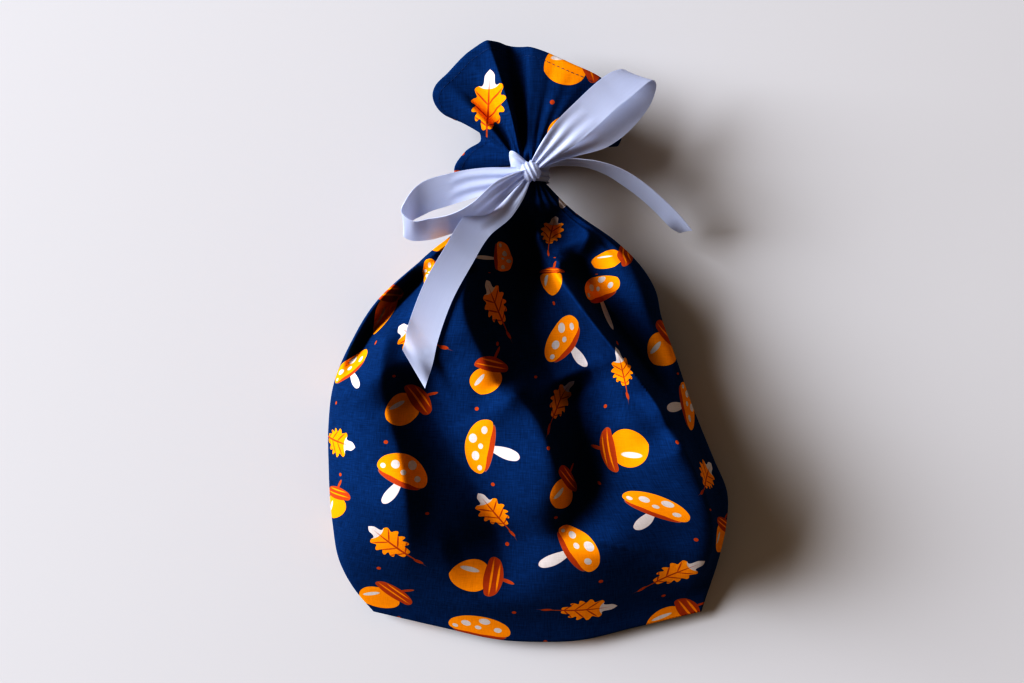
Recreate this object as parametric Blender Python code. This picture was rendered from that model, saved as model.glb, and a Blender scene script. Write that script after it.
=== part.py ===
"""A filled cotton pouch, its neck gathered and tied with a satin ribbon in a bow.

The pouch lies on its back: +Z points up from its printed front, +Y runs from its bottom seam to its
mouth, and it rests on a flat patch of its back at Z = 0. The origin is under the middle of the
object. Every length is in metres and every angle in degrees.
"""

import math

import bmesh
import bpy
import numpy as np
from mathutils import Matrix, Vector

# Body of the pouch
BODY_WIDTH = 0.205
BODY_LENGTH = 0.222  # from the bottom corners to the tie
BODY_HEIGHT = 0.070
BOTTOM_SAG = 0.016  # how far the middle of the bottom seam hangs past the corners
REST_PRESS = 0.007  # how much of the rounded back is pressed flat underneath
PRESS_RANGE = (0.02, 0.12, 0.66, 0.80)  # where the flat patch starts and ends, in shares of the length
SAG_FADE = 3  # power with which the sag of the bottom seam dies away up the body

# Cross-sections: (outer power, inner power) of a rounded oblong; 2 and 0.5 make an ellipse
FRONT_SECTION = (2.7, 0.64)
BACK_SECTION = (2.4, 0.62)
NECK_SECTION = (2.0, 0.5)
NECK_BLEND = (0.8, 1.0)  # where the sections turn round towards the tie

# Gathered neck and flared collar
NECK_RADIUS = 0.008
NECK_HEIGHT = 0.037  # middle of the neck above the table
NECK_LENGTH = 0.010
NECK_OFFSET = 0.001  # the neck sits this far right of the body's middle
COLLAR_LENGTH = 0.068
COLLAR_WALL = 0.001
COLLAR_DEPTH_SHARE = 0.14  # where the hollow of the collar closes, as a share of its length
COLLAR_BEND = (0.30, 0.42, 0.15)  # how far the collar has come at its bend, in X, Y and Z
COLLAR_BULGE = 0.05  # how much further its bend stands out, as a share of its length
COLLAR_FRONT = (0.44, 0.48)  # where the hem turns under, as shares of one round
COLLAR_FOLD_START = (0.03, 0.4)  # where the collar's folds grow to their full rise
COLLAR_FOLD_LOSS = (0.45, 1.0)  # where some of that rise is lost again towards the hem
PLEATS = 12
PLEAT_DEPTH = 0.0011
PLEAT_UNEVENNESS = 1.3
PLEAT_WANDER = 2  # times round that the pleats crowd and spread
GATHER_RANGE = (0.78, 0.84)  # where the gathers start and where they are deepest
GATHER_DEPTH = 3  # their depth there, in pleats at the tie

# Ribbon
RIBBON_WIDTH = 0.016
RIBBON_THICKNESS = 0.0006
KNOT_RADII = (0.0052, 0.0046, 0.0044)
KNOT_RISE = 0.0005  # clear height between the neck and the knot
BAND_GAP = 0.0004
BAND_THICKNESS = 0.0011
BAND_FLARE = 0.006
BAND_FLARE_DIRECTION = 130
BAND_FLARE_SPREAD = 22
LEFT_LOOP_REACH = 0.064
RIGHT_LOOP_REACH = 0.075
FRONT_TAIL_REACH = 0.118
RIGHT_TAIL_REACH = 0.096
TAIL_LIFT = 0.0022

# Fineness of the mesh
TURNS = 72
BODY_ROWS = 30
NECK_ROWS = 2
COLLAR_ROWS = 12
ROW_EVENNESS = 0.45  # 1 spaces the body's rows evenly, 0 crowds them at both ends
RIBBON_STEPS = 34
BAND_STEPS = 40
KNOT_SEGMENTS = 20
KNOT_ROWS = 12
MERGE_DISTANCE = 1e-6

# Surfaces
NAVY = (0.006, 0.022, 0.082, 1.0)
COTTON_ROUGHNESS = 0.9
SATIN_WHITE = (0.72, 0.74, 0.86, 1.0)
SATIN_ROUGHNESS = 0.35

# Silhouette of the body: (share of the length from the bottom corners, share of half the width)
LEFT_SIDE = ((0.0, -0.793), (0.05, -0.875), (0.12, -0.95), (0.22, -0.985), (0.36, -1.0),
             (0.45, -1.0), (0.54, -0.975), (0.64, -0.885), (0.735, -0.755), (0.85, -0.475),
             (0.93, -0.26))
RIGHT_SIDE = ((0.0, 0.893), (0.05, 0.92), (0.13, 0.965), (0.22, 1.0), (0.29, 1.0), (0.37, 0.93),
              (0.49, 0.825), (0.61, 0.735), (0.7, 0.665), (0.76, 0.635), (0.81, 0.57), (0.87, 0.44),
              (0.94, 0.225))
# Bottom seam between the corners: (share of the way from left to right, share of the sag)
BOTTOM_EDGE = ((0.0, 0.0), (0.2, 0.5), (0.4, 0.95), (0.5, 1.0), (0.62, 0.96), (0.8, 0.52), (1.0, 0.0))

# Heights along the body: (share of the length, share of the body's height)
CROWN = ((0.0, 0.64), (0.08, 0.80), (0.2, 0.97), (0.35, 1.0), (0.5, 0.985), (0.65, 0.93),
         (0.78, 0.83), (0.88, 0.70), (0.95, 0.63))
SIDE_EDGE = ((0.0, 0.10), (0.1, 0.23), (0.3, 0.36), (0.5, 0.38), (0.7, 0.40), (0.85, 0.44),
             (0.95, 0.48))
# Share of the rise that the front has reached, from the flat bottom seam up its sloping foot
FOOT = ((0.0, 0.0), (0.04, 0.08), (0.1, 0.3), (0.18, 0.6), (0.26, 0.83), (0.34, 0.96), (0.42, 1.0),
        (1.0, 1.0))
# How far the back reaches below the side edge, as a share of the edge's own height
BACK = ((0.0, 0.0), (0.06, 0.9), (0.12, 1.0), (0.7, 1.0), (0.8, 0.86), (0.9, 0.50), (0.96, 0.30))

# Folds of the front: route as (share of half the width, share of the length), rise as a share of the
# body's height, spreads of the left and right flanks as shares of half the width
FOLDS = (
    # ridge from the neck down the left of the middle hollow
    (((-0.07, 0.95), (-0.19, 0.87), (-0.27, 0.8), (-0.31, 0.74), (-0.29, 0.68), (-0.22, 0.61),
      (-0.13, 0.53), (-0.02, 0.46)), 0.21, 0.2, 0.06),
    # deep hollow below the knot, and its floor along the long ridge
    (((0.01, 0.96), (0.02, 0.88), (0.0, 0.82), (-0.01, 0.75), (0.02, 0.68), (0.08, 0.61),
      (0.17, 0.53), (0.27, 0.44)), -0.42, 0.19, 0.2),
    (((0.04, 0.88), (0.08, 0.81), (0.13, 0.75), (0.19, 0.69), (0.26, 0.63), (0.31, 0.55), (0.32, 0.46)),
     -0.16, 0.12, 0.06),
    # long ridge from the neck to the right side, and the valley on its right
    (((0.03, 0.94), (0.05, 0.88), (0.1, 0.815), (0.16, 0.77), (0.27, 0.7), (0.38, 0.635), (0.55, 0.54),
      (0.66, 0.45), (0.74, 0.36)), 0.24, 0.035, 0.055),
    (((0.2, 0.87), (0.33, 0.77), (0.47, 0.68), (0.6, 0.59), (0.72, 0.47)), -0.36, 0.08, 0.1),
    # right shoulder, and the slack fold with its dimple between it and the long ridge
    (((0.15, 0.97), (0.3, 0.91), (0.44, 0.85), (0.54, 0.77), (0.6, 0.68), (0.67, 0.6)), 0.07, 0.12, 0.07),
    (((0.12, 0.82), (0.2, 0.825), (0.28, 0.86), (0.28, 0.93)), 0.12, 0.045, 0.05),
    (((0.1, 0.94), (0.15, 0.9), (0.16, 0.86)), -0.1, 0.045, 0.06),
    # rim along the left side seam and the valley inside it
    (((-0.36, 0.9), (-0.52, 0.83), (-0.68, 0.775), (-0.79, 0.71), (-0.87, 0.65), (-0.94, 0.58),
      (-0.96, 0.5)), 0.42, 0.04, 0.035),
    (((-0.48, 0.83), (-0.6, 0.77), (-0.7, 0.725), (-0.77, 0.685), (-0.83, 0.645), (-0.88, 0.6),
      (-0.91, 0.53)), -0.5, 0.045, 0.065),
    # broad crests and valleys over the lower front
    (((-0.66, 0.7), (-0.7, 0.6), (-0.68, 0.49), (-0.61, 0.38), (-0.58, 0.24), (-0.62, 0.08)),
     0.16, 0.24, 0.07),
    (((-0.62, 0.6), (-0.5, 0.5), (-0.38, 0.4), (-0.24, 0.3), (-0.16, 0.21), (-0.14, 0.11), (-0.2, 0.03)),
     -0.32, 0.22, 0.2),
    (((-0.13, 0.56), (0.02, 0.48), (0.1, 0.4), (0.18, 0.3), (0.26, 0.2)), 0.2, 0.17, 0.06),
    (((0.18, 0.57), (0.25, 0.49), (0.27, 0.4), (0.25, 0.32), (0.2, 0.24), (0.15, 0.17)),
     -0.38, 0.1, 0.15),
    (((0.62, 0.55), (0.7, 0.45), (0.79, 0.34), (0.87, 0.24), (0.88, 0.14), (0.8, 0.05)), 0.12, 0.34, 0.06),
    (((0.66, 0.46), (0.77, 0.37), (0.85, 0.29), (0.89, 0.21), (0.86, 0.11), (0.78, 0.03)), 0.2, 0.15, 0.05),
    # slack across the foot of the front
    (((-0.43, 0.16), (-0.14, 0.2), (0.15, 0.2), (0.43, 0.18)), -0.05, 0.1, 0.1),
)
FOLD_FADE = (0.12, 0.3)  # shares of a fold's route over which it grows and dies away
FOLD_POWER = 1.5  # 2 makes round folds, less makes their crests and valleys crisper
FOLD_STEPS = 24
FOLD_RANGE = (0.0, 0.12, 0.93, 0.995)  # where the folds start and end, in shares of the length
FOLD_EDGE_POWER = 16  # how late the folds die away towards the side edges

# Mouth of the collar, once round from the right fold: (share of the round, direction in degrees from
# +X, share of the collar's length, share of the neck's height). The hem fans out over the front,
# folds under at the left, comes out again as a small lobe and returns below.
MOUTH = ((0.0, 20, 0.70, 0.62), (0.05, 33, 0.84, 0.86), (0.12, 50, 0.88, 1.02),
         (0.20, 70, 0.865, 1.08), (0.28, 91, 0.935, 1.10), (0.36, 110, 1.02, 1.06),
         (0.425, 128, 0.985, 0.90),
         (0.465, 140, 0.96, 0.66), (0.50, 143, 0.80, 0.50), (0.535, 136, 0.58, 0.44),
         (0.575, 143, 0.47, 0.50), (0.615, 158, 0.53, 0.56), (0.655, 172, 0.58, 0.44),
         (0.69, 178, 0.55, 0.24), (0.725, 168, 0.45, 0.12), (0.78, 140, 0.44, 0.12),
         (0.84, 106, 0.72, 0.16), (0.90, 70, 0.76, 0.20), (0.96, 34, 0.72, 0.36))
# Folds of the collar's front, each one radial: direction, rise as a share of its length, spread in
# degrees, share of the rise that is left at the hem
COLLAR_FOLDS = ((97, -0.13, 5.0, 0.8), (109, 0.07, 4.5, 0.8), (124, -0.09, 5.0, 0.2), (65, 0.02, 14.0, 1.0),
                (137, 0.05, 5.0, 0.7))

# Ribbon runs, each measured from the knot in shares of its own reach: (middle of the ribbon),
# (direction across it), share of its full width
LEFT_LOOP = (
    ((-0.036, 0.0, -0.041), (0.2, 1.0, 0.1), 0.35),
    ((-0.161, -0.039, -0.056), (0.1, 1.0, 0.15), 0.62),
    ((-0.333, -0.062, -0.069), (-0.1, 1.0, 0.1), 0.8), ((-0.63, -0.133, -0.072), (0.0, 1.0, 0.22), 1.0),
    ((-0.837, -0.206, -0.053), (-0.17, 0.9, 0.42), 1.0),
    ((-0.955, -0.308, -0.044), (-0.1, 0.6, 0.75), 1.0),
    ((-0.998, -0.406, -0.044), (0.0, 0.66, 0.75), 1.0),
    ((-0.942, -0.453, -0.041), (0.08, 0.55, 0.83), 1.0),
    ((-0.792, -0.467, -0.016), (0.08, 0.5, 0.88), 1.0),
    ((-0.627, -0.455, 0.019), (-0.05, 0.28, 0.95), 1.0),
    ((-0.433, -0.335, 0.1), (-0.25, 0.48, 0.85), 1.0),
    ((-0.242, -0.164, 0.053), (-0.15, 0.72, 0.65), 0.85),
    ((-0.098, -0.062, 0.037), (0.0, 0.85, 0.5), 0.5), ((-0.02, -0.016, 0.031), (0.0, 0.8, 0.5), 0.3),
)
RIGHT_LOOP = (
    ((0.009, 0.013, 0.024), (-0.6, 0.8, 0.0), 0.3), ((0.103, 0.12, 0.047), (-0.75, 0.66, 0.1), 0.6),
    ((0.223, 0.233, 0.08), (-0.75, 0.66, 0.1), 0.92), ((0.376, 0.373, 0.12), (-0.72, 0.69, 0.1), 1.0),
    ((0.529, 0.507, 0.147), (-0.66, 0.75, 0.1), 1.0), ((0.699, 0.613, 0.133), (-0.94, 0.32, 0.05), 1.0),
    ((0.729, 0.6, 0.067), (-0.9, 0.42, 0.0), 1.0), ((0.716, 0.527, 0.007), (-0.85, 0.5, 0.0), 1.0),
    ((0.603, 0.368, -0.027), (-0.75, 0.66, 0.0), 1.0), ((0.443, 0.247, -0.043), (-0.66, 0.75, 0.0), 1.0),
    ((0.249, 0.173, -0.04), (-0.5, 0.8, 0.0), 0.8), ((0.109, 0.1, -0.021), (-0.45, 0.85, 0.0), 0.55),
    ((0.023, 0.027, -0.016), (-0.4, 0.85, 0.0), 0.3),
)
FRONT_TAIL = (
    ((-0.011, -0.008, -0.017), (0.8, -0.5, 0.0), 0.3), ((-0.062, -0.076, -0.02), (0.75, -0.65, 0.0), 0.7),
    ((-0.117, -0.14, -0.022), (0.72, -0.69, 0.0), 0.9), ((-0.223, -0.233, -0.013), (0.75, -0.66, 0.0), 1.0),
    ((-0.297, -0.36, 0.042), (0.78, -0.62, 0.0), 1.0), ((-0.385, -0.528, 0.097), (0.89, -0.45, 0.0), 1.0),
    ((-0.439, -0.678, 0.131), (0.93, -0.36, 0.0), 1.0), ((-0.467, -0.781, 0.153), (0.96, -0.27, 0.0), 1.0),
    ((-0.481, -0.836, 0.161), (0.57, -0.82, 0.0), 1.32),
)
RIGHT_TAIL = (
    ((0.018, 0.016, -0.01), (0.0, 0.5, 0.85), 0.3), ((0.07, 0.036, -0.042), (0.0, 0.35, 0.93), 0.45),
    ((0.143, 0.06, -0.078), (0.0, 0.26, 0.96), 0.65), ((0.226, 0.058, -0.083), (0.0, 0.2, 0.97), 0.85),
    ((0.32, 0.046, -0.089), (0.0, 0.15, 0.98), 1.0), ((0.414, 0.018, -0.104), (0.05, 0.22, 0.97), 1.0),
    ((0.502, -0.025, -0.13), (0.1, 0.3, 0.94), 1.0), ((0.591, -0.081, -0.167), (0.12, 0.33, 0.93), 1.0),
    ((0.684, -0.153, -0.214), (0.14, 0.34, 0.93), 1.0), ((0.775, -0.234, -0.266), (0.16, 0.34, 0.92), 1.0),
    ((0.844, -0.289, -0.32), (0.28, 0.0, 0.96), 1.0),
)

HALF_WIDTH = BODY_WIDTH / 2
TIE_START = BODY_LENGTH  # Y is measured from the bottom corners until the object is centred
TIE_MIDDLE = TIE_START + NECK_LENGTH / 2
COLLAR_START = TIE_START + NECK_LENGTH


def curve_through(knots, at):
    """Smooth curve through (place, value) pairs; a value may be a number or a row of numbers."""
    places = np.array([knot[0] for knot in knots], float)
    values = np.array([knot[1] for knot in knots], float)
    slopes = np.gradient(values, places, axis=0)
    at = np.clip(np.asarray(at, float), places[0], places[-1])
    i = np.clip(np.searchsorted(places, at, side="right") - 1, 0, len(places) - 2)
    step = places[i + 1] - places[i]
    t = (at - places[i]) / step
    if values.ndim > 1:
        t, step = t[..., None], step[..., None]
    near = (1 + 2 * t) * (1 - t) ** 2 * values[i] + t * (1 - t) ** 2 * step * slopes[i]
    far = t ** 2 * (3 - 2 * t) * values[i + 1] - t ** 2 * (1 - t) * step * slopes[i + 1]
    return near + far


def closed_curve_through(knots, at):
    """The same for a curve that comes back to its start after one round."""
    around = [(k[0] - 1, k[1]) for k in knots[-3:]] + list(knots) + [(k[0] + 1, k[1]) for k in knots[:3]]
    return curve_through(around, at)


def smooth_step(low, high, at):
    t = np.clip((np.asarray(at, float) - low) / (high - low), 0, 1)
    return t * t * (3 - 2 * t)


def fold_height(x, y):
    """Rise of the front's folds over the plain dome at each place, X from the body's middle."""
    total = np.zeros(np.shape(x))
    place = np.stack([x, y], -1)[..., None, :]
    for route, rise_share, left_share, right_share in FOLDS:
        last = len(route) - 1
        knots = [(i / last, (a * HALF_WIDTH, b * BODY_LENGTH)) for i, (a, b) in enumerate(route)]
        line = curve_through(knots, np.linspace(0, 1, FOLD_STEPS + 1))
        legs = line[1:] - line[:-1]
        lengths = np.linalg.norm(legs, axis=1)
        away = place - line[:-1]
        along = (away * legs).sum(-1) / lengths ** 2
        on_leg = np.clip(along, 0, 1)
        miss = away - on_leg[..., None] * legs
        nearest = np.argmin((miss ** 2).sum(-1), axis=-1)[..., None]
        miss = np.take_along_axis(miss, nearest[..., None], -2)[..., 0, :]
        share = (nearest + np.take_along_axis(on_leg, nearest, -1))[..., 0] / FOLD_STEPS
        legs_here = legs[nearest[..., 0]]
        downward = -np.sign(legs_here[..., 1])
        right = miss[..., 0] * np.abs(legs_here[..., 1]) + miss[..., 1] * downward * legs_here[..., 0]
        spread = np.where(right < 0, left_share, right_share) * HALF_WIDTH
        ends = smooth_step(0, FOLD_FADE[0], share) * smooth_step(0, FOLD_FADE[1], 1 - share)
        distance = np.linalg.norm(miss, axis=-1)
        total += rise_share * BODY_HEIGHT * ends * np.exp(-(distance / spread) ** FOLD_POWER)
    return total


def body_frame(s):
    """Left and right limits, edge height, crown height and back depth at each share of the length."""
    neck = NECK_RADIUS / HALF_WIDTH
    middle = NECK_OFFSET / HALF_WIDTH
    left = curve_through(LEFT_SIDE + ((1.0, middle - neck),), s) * HALF_WIDTH
    right = curve_through(RIGHT_SIDE + ((1.0, middle + neck),), s) * HALF_WIDTH
    edge = curve_through(SIDE_EDGE + ((1.0, NECK_HEIGHT / BODY_HEIGHT),), s) * BODY_HEIGHT
    top = curve_through(CROWN + ((1.0, (NECK_HEIGHT + NECK_RADIUS) / BODY_HEIGHT),), s) * BODY_HEIGHT
    back = curve_through(BACK + ((1.0, NECK_RADIUS / NECK_HEIGHT),), s) * edge
    press = REST_PRESS * smooth_step(*PRESS_RANGE[:2], s) * (1 - smooth_step(*PRESS_RANGE[2:], s))
    return left, right, edge, (top - edge) * curve_through(FOOT, s), back + press


def dome(across, s, rise, section):
    """Height over the side edge: pillow-like on the body and round at the neck."""
    roundness = smooth_step(*NECK_BLEND, s)
    outer = section[0] + (NECK_SECTION[0] - section[0]) * roundness
    inner = section[1] + (NECK_SECTION[1] - section[1]) * roundness
    return rise * (1 - np.abs(across) ** outer) ** inner


def fold_mask(across, s):
    ends = smooth_step(*FOLD_RANGE[:2], s) * (1 - smooth_step(*FOLD_RANGE[2:], s))
    return (1 - np.abs(across) ** FOLD_EDGE_POWER) * ends


def body_top(x, y):
    """Height of the front at places in plan, X and Y as modelled."""
    s = np.clip(y / BODY_LENGTH, 0, 1)
    left, right, edge, rise, _ = body_frame(s)
    across = np.clip((x - (left + right) / 2) / ((right - left) / 2), -1, 1)
    return edge + dome(across, s, rise, FRONT_SECTION) + fold_height(x, y) * fold_mask(across, s)


def pleats(turn, depth):
    """Inward depth of the gathers round the neck, uneven as cloth is."""
    wander = PLEAT_UNEVENNESS * np.sin(2 * math.pi * PLEAT_WANDER * turn)
    return depth * (0.5 - 0.5 * np.cos(2 * math.pi * PLEATS * turn + wander))


def body_point(s, turn):
    """Points of the body: s from the bottom seam to the tie, turn once round from the right edge."""
    left, right, edge, rise, back = body_frame(s)
    angle = 2 * math.pi * turn
    across = np.cos(angle)
    upper = np.sin(angle) >= 0
    start, deepest = GATHER_RANGE
    deepening = 1 + (GATHER_DEPTH - 1) * (1 - smooth_step(deepest, 1.0, s))
    depth = pleats(turn, PLEAT_DEPTH) * smooth_step(start, 1.0, s) * deepening
    half = (right - left) / 2 - depth * np.abs(across)
    x = (left + right) / 2 + half * across
    y = BODY_LENGTH * s - BOTTOM_SAG * curve_through(BOTTOM_EDGE, (1 + across) / 2) * (1 - s) ** SAG_FADE
    top = dome(across, s, rise, FRONT_SECTION) + fold_height(x, y) * fold_mask(across, s)
    below = dome(across, s, back, BACK_SECTION)
    z = edge + np.where(upper, top, -below) - depth * np.sin(angle)
    return np.stack(np.broadcast_arrays(x, y, np.maximum(z, 0)), -1)


def neck_ring(turn):
    angle = 2 * math.pi * turn
    radius = NECK_RADIUS - pleats(turn, PLEAT_DEPTH)
    return NECK_OFFSET + radius * np.cos(angle), NECK_HEIGHT + radius * np.sin(angle)


def collar_point(t, turn):
    """Points of the collar's outer face: t from the tie to the hem."""
    start_x, start_z = neck_ring(turn)
    mouth = closed_curve_through([(m[0], m[1:]) for m in MOUTH], turn)
    direction = mouth[..., 0]
    reach = mouth[..., 1] * COLLAR_LENGTH
    end_x = NECK_OFFSET + reach * np.cos(np.radians(direction))
    end_y = TIE_MIDDLE + reach * np.sin(np.radians(direction))
    end_z = mouth[..., 2] * NECK_HEIGHT
    share_x, share_y, share_z = COLLAR_BEND
    bend_x = start_x + share_x * (end_x - start_x)
    bend_y = COLLAR_START + share_y * (end_y - COLLAR_START) + COLLAR_BULGE * COLLAR_LENGTH
    bend_z = start_z + share_z * (end_z - start_z)
    a, b, c = (1 - t) ** 2, 2 * t * (1 - t), t ** 2
    x = a * start_x + b * bend_x + c * end_x
    y = a * COLLAR_START + b * bend_y + c * end_y
    z = a * start_z + b * bend_z + c * end_z
    front = 1 - smooth_step(*COLLAR_FRONT, turn)
    grown, lost = smooth_step(*COLLAR_FOLD_START, t), smooth_step(*COLLAR_FOLD_LOSS, t)
    for centre, rise_share, spread, left_at_hem in COLLAR_FOLDS:
        growth = grown * (1 - (1 - left_at_hem) * lost)
        rise = rise_share * COLLAR_LENGTH * growth * front
        z = z + rise * np.exp(-((direction - centre) / spread) ** 2)
    return np.stack([x, y, z], -1)


def surface_material(name, colour, roughness):
    material = bpy.data.materials.new(name)
    material.use_nodes = True
    shader = material.node_tree.nodes["Principled BSDF"]
    shader.inputs["Base Color"].default_value = colour
    shader.inputs["Roughness"].default_value = roughness
    shader.inputs["Metallic"].default_value = 0.0
    return material


def object_from(name, points, faces, material):
    mesh = bpy.data.meshes.new(name)
    mesh.from_pydata([tuple(point) for point in points], [], faces)
    shape = bmesh.new()
    shape.from_mesh(mesh)
    bmesh.ops.remove_doubles(shape, verts=shape.verts, dist=MERGE_DISTANCE)
    bmesh.ops.recalc_face_normals(shape, faces=shape.faces)
    shape.to_mesh(mesh)
    shape.free()
    mesh.shade_smooth()
    mesh.materials.append(material)
    made = bpy.data.objects.new(name, mesh)
    bpy.context.scene.collection.objects.link(made)
    return made


def ring_faces(first, second, count):
    """Quads between two rings of points, given the index of each ring's first point."""
    after = [(i + 1) % count for i in range(count)]
    return [(first + i, first + after[i], second + after[i], second + i) for i in range(count)]


def make_pouch():
    """Body, neck, the collar's outside, its hem and its inside, as one closed skin."""
    turn = np.arange(TURNS) / TURNS
    share = np.linspace(0, 1, BODY_ROWS + 1)
    crowded = 0.5 - 0.5 * np.cos(math.pi * share)
    shares = ROW_EVENNESS * share + (1 - ROW_EVENNESS) * crowded
    rings = [body_point(np.full(TURNS, s), turn) for s in shares]
    for row in range(1, NECK_ROWS + 1):
        x, z = neck_ring(turn)
        y = TIE_START + NECK_LENGTH * row / NECK_ROWS
        rings.append(np.stack([x, np.full(TURNS, y), z], -1))
    ts = np.linspace(0, 1, COLLAR_ROWS + 1)
    outside = np.array([collar_point(np.full(TURNS, t), turn) for t in ts])
    rings.extend(outside[1:])

    along = np.gradient(outside, axis=0)
    round_it = np.roll(outside, -1, axis=1) - np.roll(outside, 1, axis=1)
    inward = np.cross(round_it, along)
    inward /= np.linalg.norm(inward, axis=-1, keepdims=True)
    inside = outside + inward * COLLAR_WALL
    deepest = math.ceil(COLLAR_DEPTH_SHARE * COLLAR_ROWS)
    rings.extend(inside[COLLAR_ROWS:deepest - 1:-1])

    points = [point for ring in rings for point in ring]
    faces = []
    for row in range(len(rings) - 1):
        faces += ring_faces(row * TURNS, (row + 1) * TURNS, TURNS)
    last = (len(rings) - 1) * TURNS
    floor = rings[-1].mean(axis=0)
    floor[1] = COLLAR_START
    points.append(floor)
    faces += [(last + i, last + (i + 1) % TURNS, len(points) - 1) for i in range(TURNS)]
    return object_from("pouch", points, faces, surface_material("navy_cotton", NAVY, COTTON_ROUGHNESS))


def knot_centre():
    return np.array([NECK_OFFSET, TIE_MIDDLE, NECK_HEIGHT + NECK_RADIUS + KNOT_RISE + KNOT_RADII[2]])


def ribbon_run(name, route, reach, material, rest_on=None):
    """A flat ribbon along a route, with square edges and closed ends."""
    places = np.array([knot_centre() + reach * np.array(middle) for middle, _, _ in route])
    across = np.array([direction for _, direction, _ in route], float)
    across /= np.linalg.norm(across, axis=1)[:, None]
    widths = np.array([share for _, _, share in route]) * RIBBON_WIDTH
    if rest_on is not None:
        lowest = [max(rest_on(*(place + k * width * side)[:2]) for k in (-0.5, 0.0, 0.5))
                  for place, side, width in zip(places, across, widths)]
        places[:, 2] = np.maximum(places[:, 2], np.array(lowest) + TAIL_LIFT)
    run = np.concatenate([[0], np.cumsum(np.linalg.norm(np.diff(places, axis=0), axis=1))])
    steps = np.linspace(0, run[-1], RIBBON_STEPS + 1)
    middle = curve_through(list(zip(run, places)), steps)
    across = curve_through(list(zip(run, across)), steps)
    across /= np.linalg.norm(across, axis=1)[:, None]
    width = curve_through(list(zip(run, widths)), steps)[:, None]
    normal = np.cross(np.gradient(middle, axis=0), across)
    normal /= np.linalg.norm(normal, axis=1)[:, None]
    half = normal * RIBBON_THICKNESS / 2
    low, high = middle - across * width / 2, middle + across * width / 2
    corners = np.stack([low - half, high - half, high + half, low + half], 1)
    points = corners.reshape(-1, 3)
    faces = []
    for row in range(RIBBON_STEPS):
        faces += ring_faces(row * 4, (row + 1) * 4, 4)
    end = RIBBON_STEPS * 4
    faces += [(0, 1, 2, 3), (end, end + 1, end + 2, end + 3)]
    return object_from(name, points, faces, material)


def neck_band(material):
    """The ribbon's turn round the neck, flared where it slants over the gathers at the upper left."""
    angle = 2 * math.pi * np.arange(BAND_STEPS) / BAND_STEPS
    flare = np.exp(-((np.degrees(angle) - BAND_FLARE_DIRECTION) / BAND_FLARE_SPREAD) ** 2)
    inner = NECK_RADIUS + BAND_GAP
    low, high = TIE_START + BAND_GAP, COLLAR_START - BAND_GAP
    rings = []
    for y, extra in ((low, 0.0), (high, 1.0)):
        for wall in (0.0, BAND_THICKNESS) if y == low else (BAND_THICKNESS, 0.0):
            radius = inner + wall + extra * BAND_FLARE * flare
            rings.append(np.stack([NECK_OFFSET + radius * np.cos(angle),
                                   y + extra * BAND_FLARE * flare,
                                   NECK_HEIGHT + radius * np.sin(angle)], -1))
    points = [point for ring in rings for point in ring]
    faces = []
    for row in range(4):
        faces += ring_faces(row * BAND_STEPS, (row + 1) % 4 * BAND_STEPS, BAND_STEPS)
    return object_from("neck_band", points, faces, material)


def make_ribbon():
    """One ribbon: knot, band, two loops and two tails, joined where they meet in the knot."""
    material = surface_material("white_satin", SATIN_WHITE, SATIN_ROUGHNESS)
    mesh = bpy.data.meshes.new("ribbon")
    shape = bmesh.new()
    bmesh.ops.create_uvsphere(shape, u_segments=KNOT_SEGMENTS, v_segments=KNOT_ROWS, radius=1.0,
                              matrix=Matrix.Diagonal((*KNOT_RADII, 1.0)))
    bmesh.ops.translate(shape, verts=shape.verts, vec=Vector(knot_centre()))
    shape.to_mesh(mesh)
    shape.free()
    mesh.shade_smooth()
    mesh.materials.append(material)
    ribbon = bpy.data.objects.new("ribbon", mesh)
    bpy.context.scene.collection.objects.link(ribbon)
    joined = [
        neck_band(material),
        ribbon_run("left_loop", LEFT_LOOP, LEFT_LOOP_REACH, material),
        ribbon_run("right_loop", RIGHT_LOOP, RIGHT_LOOP_REACH, material),
        ribbon_run("front_tail", FRONT_TAIL, FRONT_TAIL_REACH, material, body_top),
        ribbon_run("right_tail", RIGHT_TAIL, RIGHT_TAIL_REACH, material),
    ]
    for piece in joined:
        piece.hide_render = True
        piece.display_type = "WIRE"
        union = ribbon.modifiers.new(piece.name, "BOOLEAN")
        union.operation = "UNION"
        union.solver = "EXACT"
        union.object = piece
    return ribbon, joined


def centre_over_origin(pouch, others):
    """Puts the middle of the whole object's plan over the origin."""
    bpy.context.view_layer.update()
    corners = [np.array([tuple(v.co) for v in piece.data.vertices]) for piece in (pouch, *others)]
    every = np.concatenate(corners)
    middle = (every.min(axis=0) + every.max(axis=0)) / 2
    for piece in (pouch, *others):
        piece.location = (-middle[0], -middle[1], 0)


def main():
    for old in list(bpy.data.objects):
        bpy.data.objects.remove(old)
    pouch = make_pouch()
    ribbon, joined = make_ribbon()
    centre_over_origin(pouch, [ribbon, *joined])


main()
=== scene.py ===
# %% [markdown]
# # A printed cotton pouch tied with a satin bow
#
# The pouch lies on its back, filled and plump, with its neck gathered by a ribbon. Two things carry
# its looks: the way the cotton folds on its way into the tie, and the way satin takes the light. The
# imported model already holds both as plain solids, so this lesson starts from their sizes and makes
# the same forms much finer, then adds the print, the weave, the hem and its stitches.

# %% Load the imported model
import math

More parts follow.
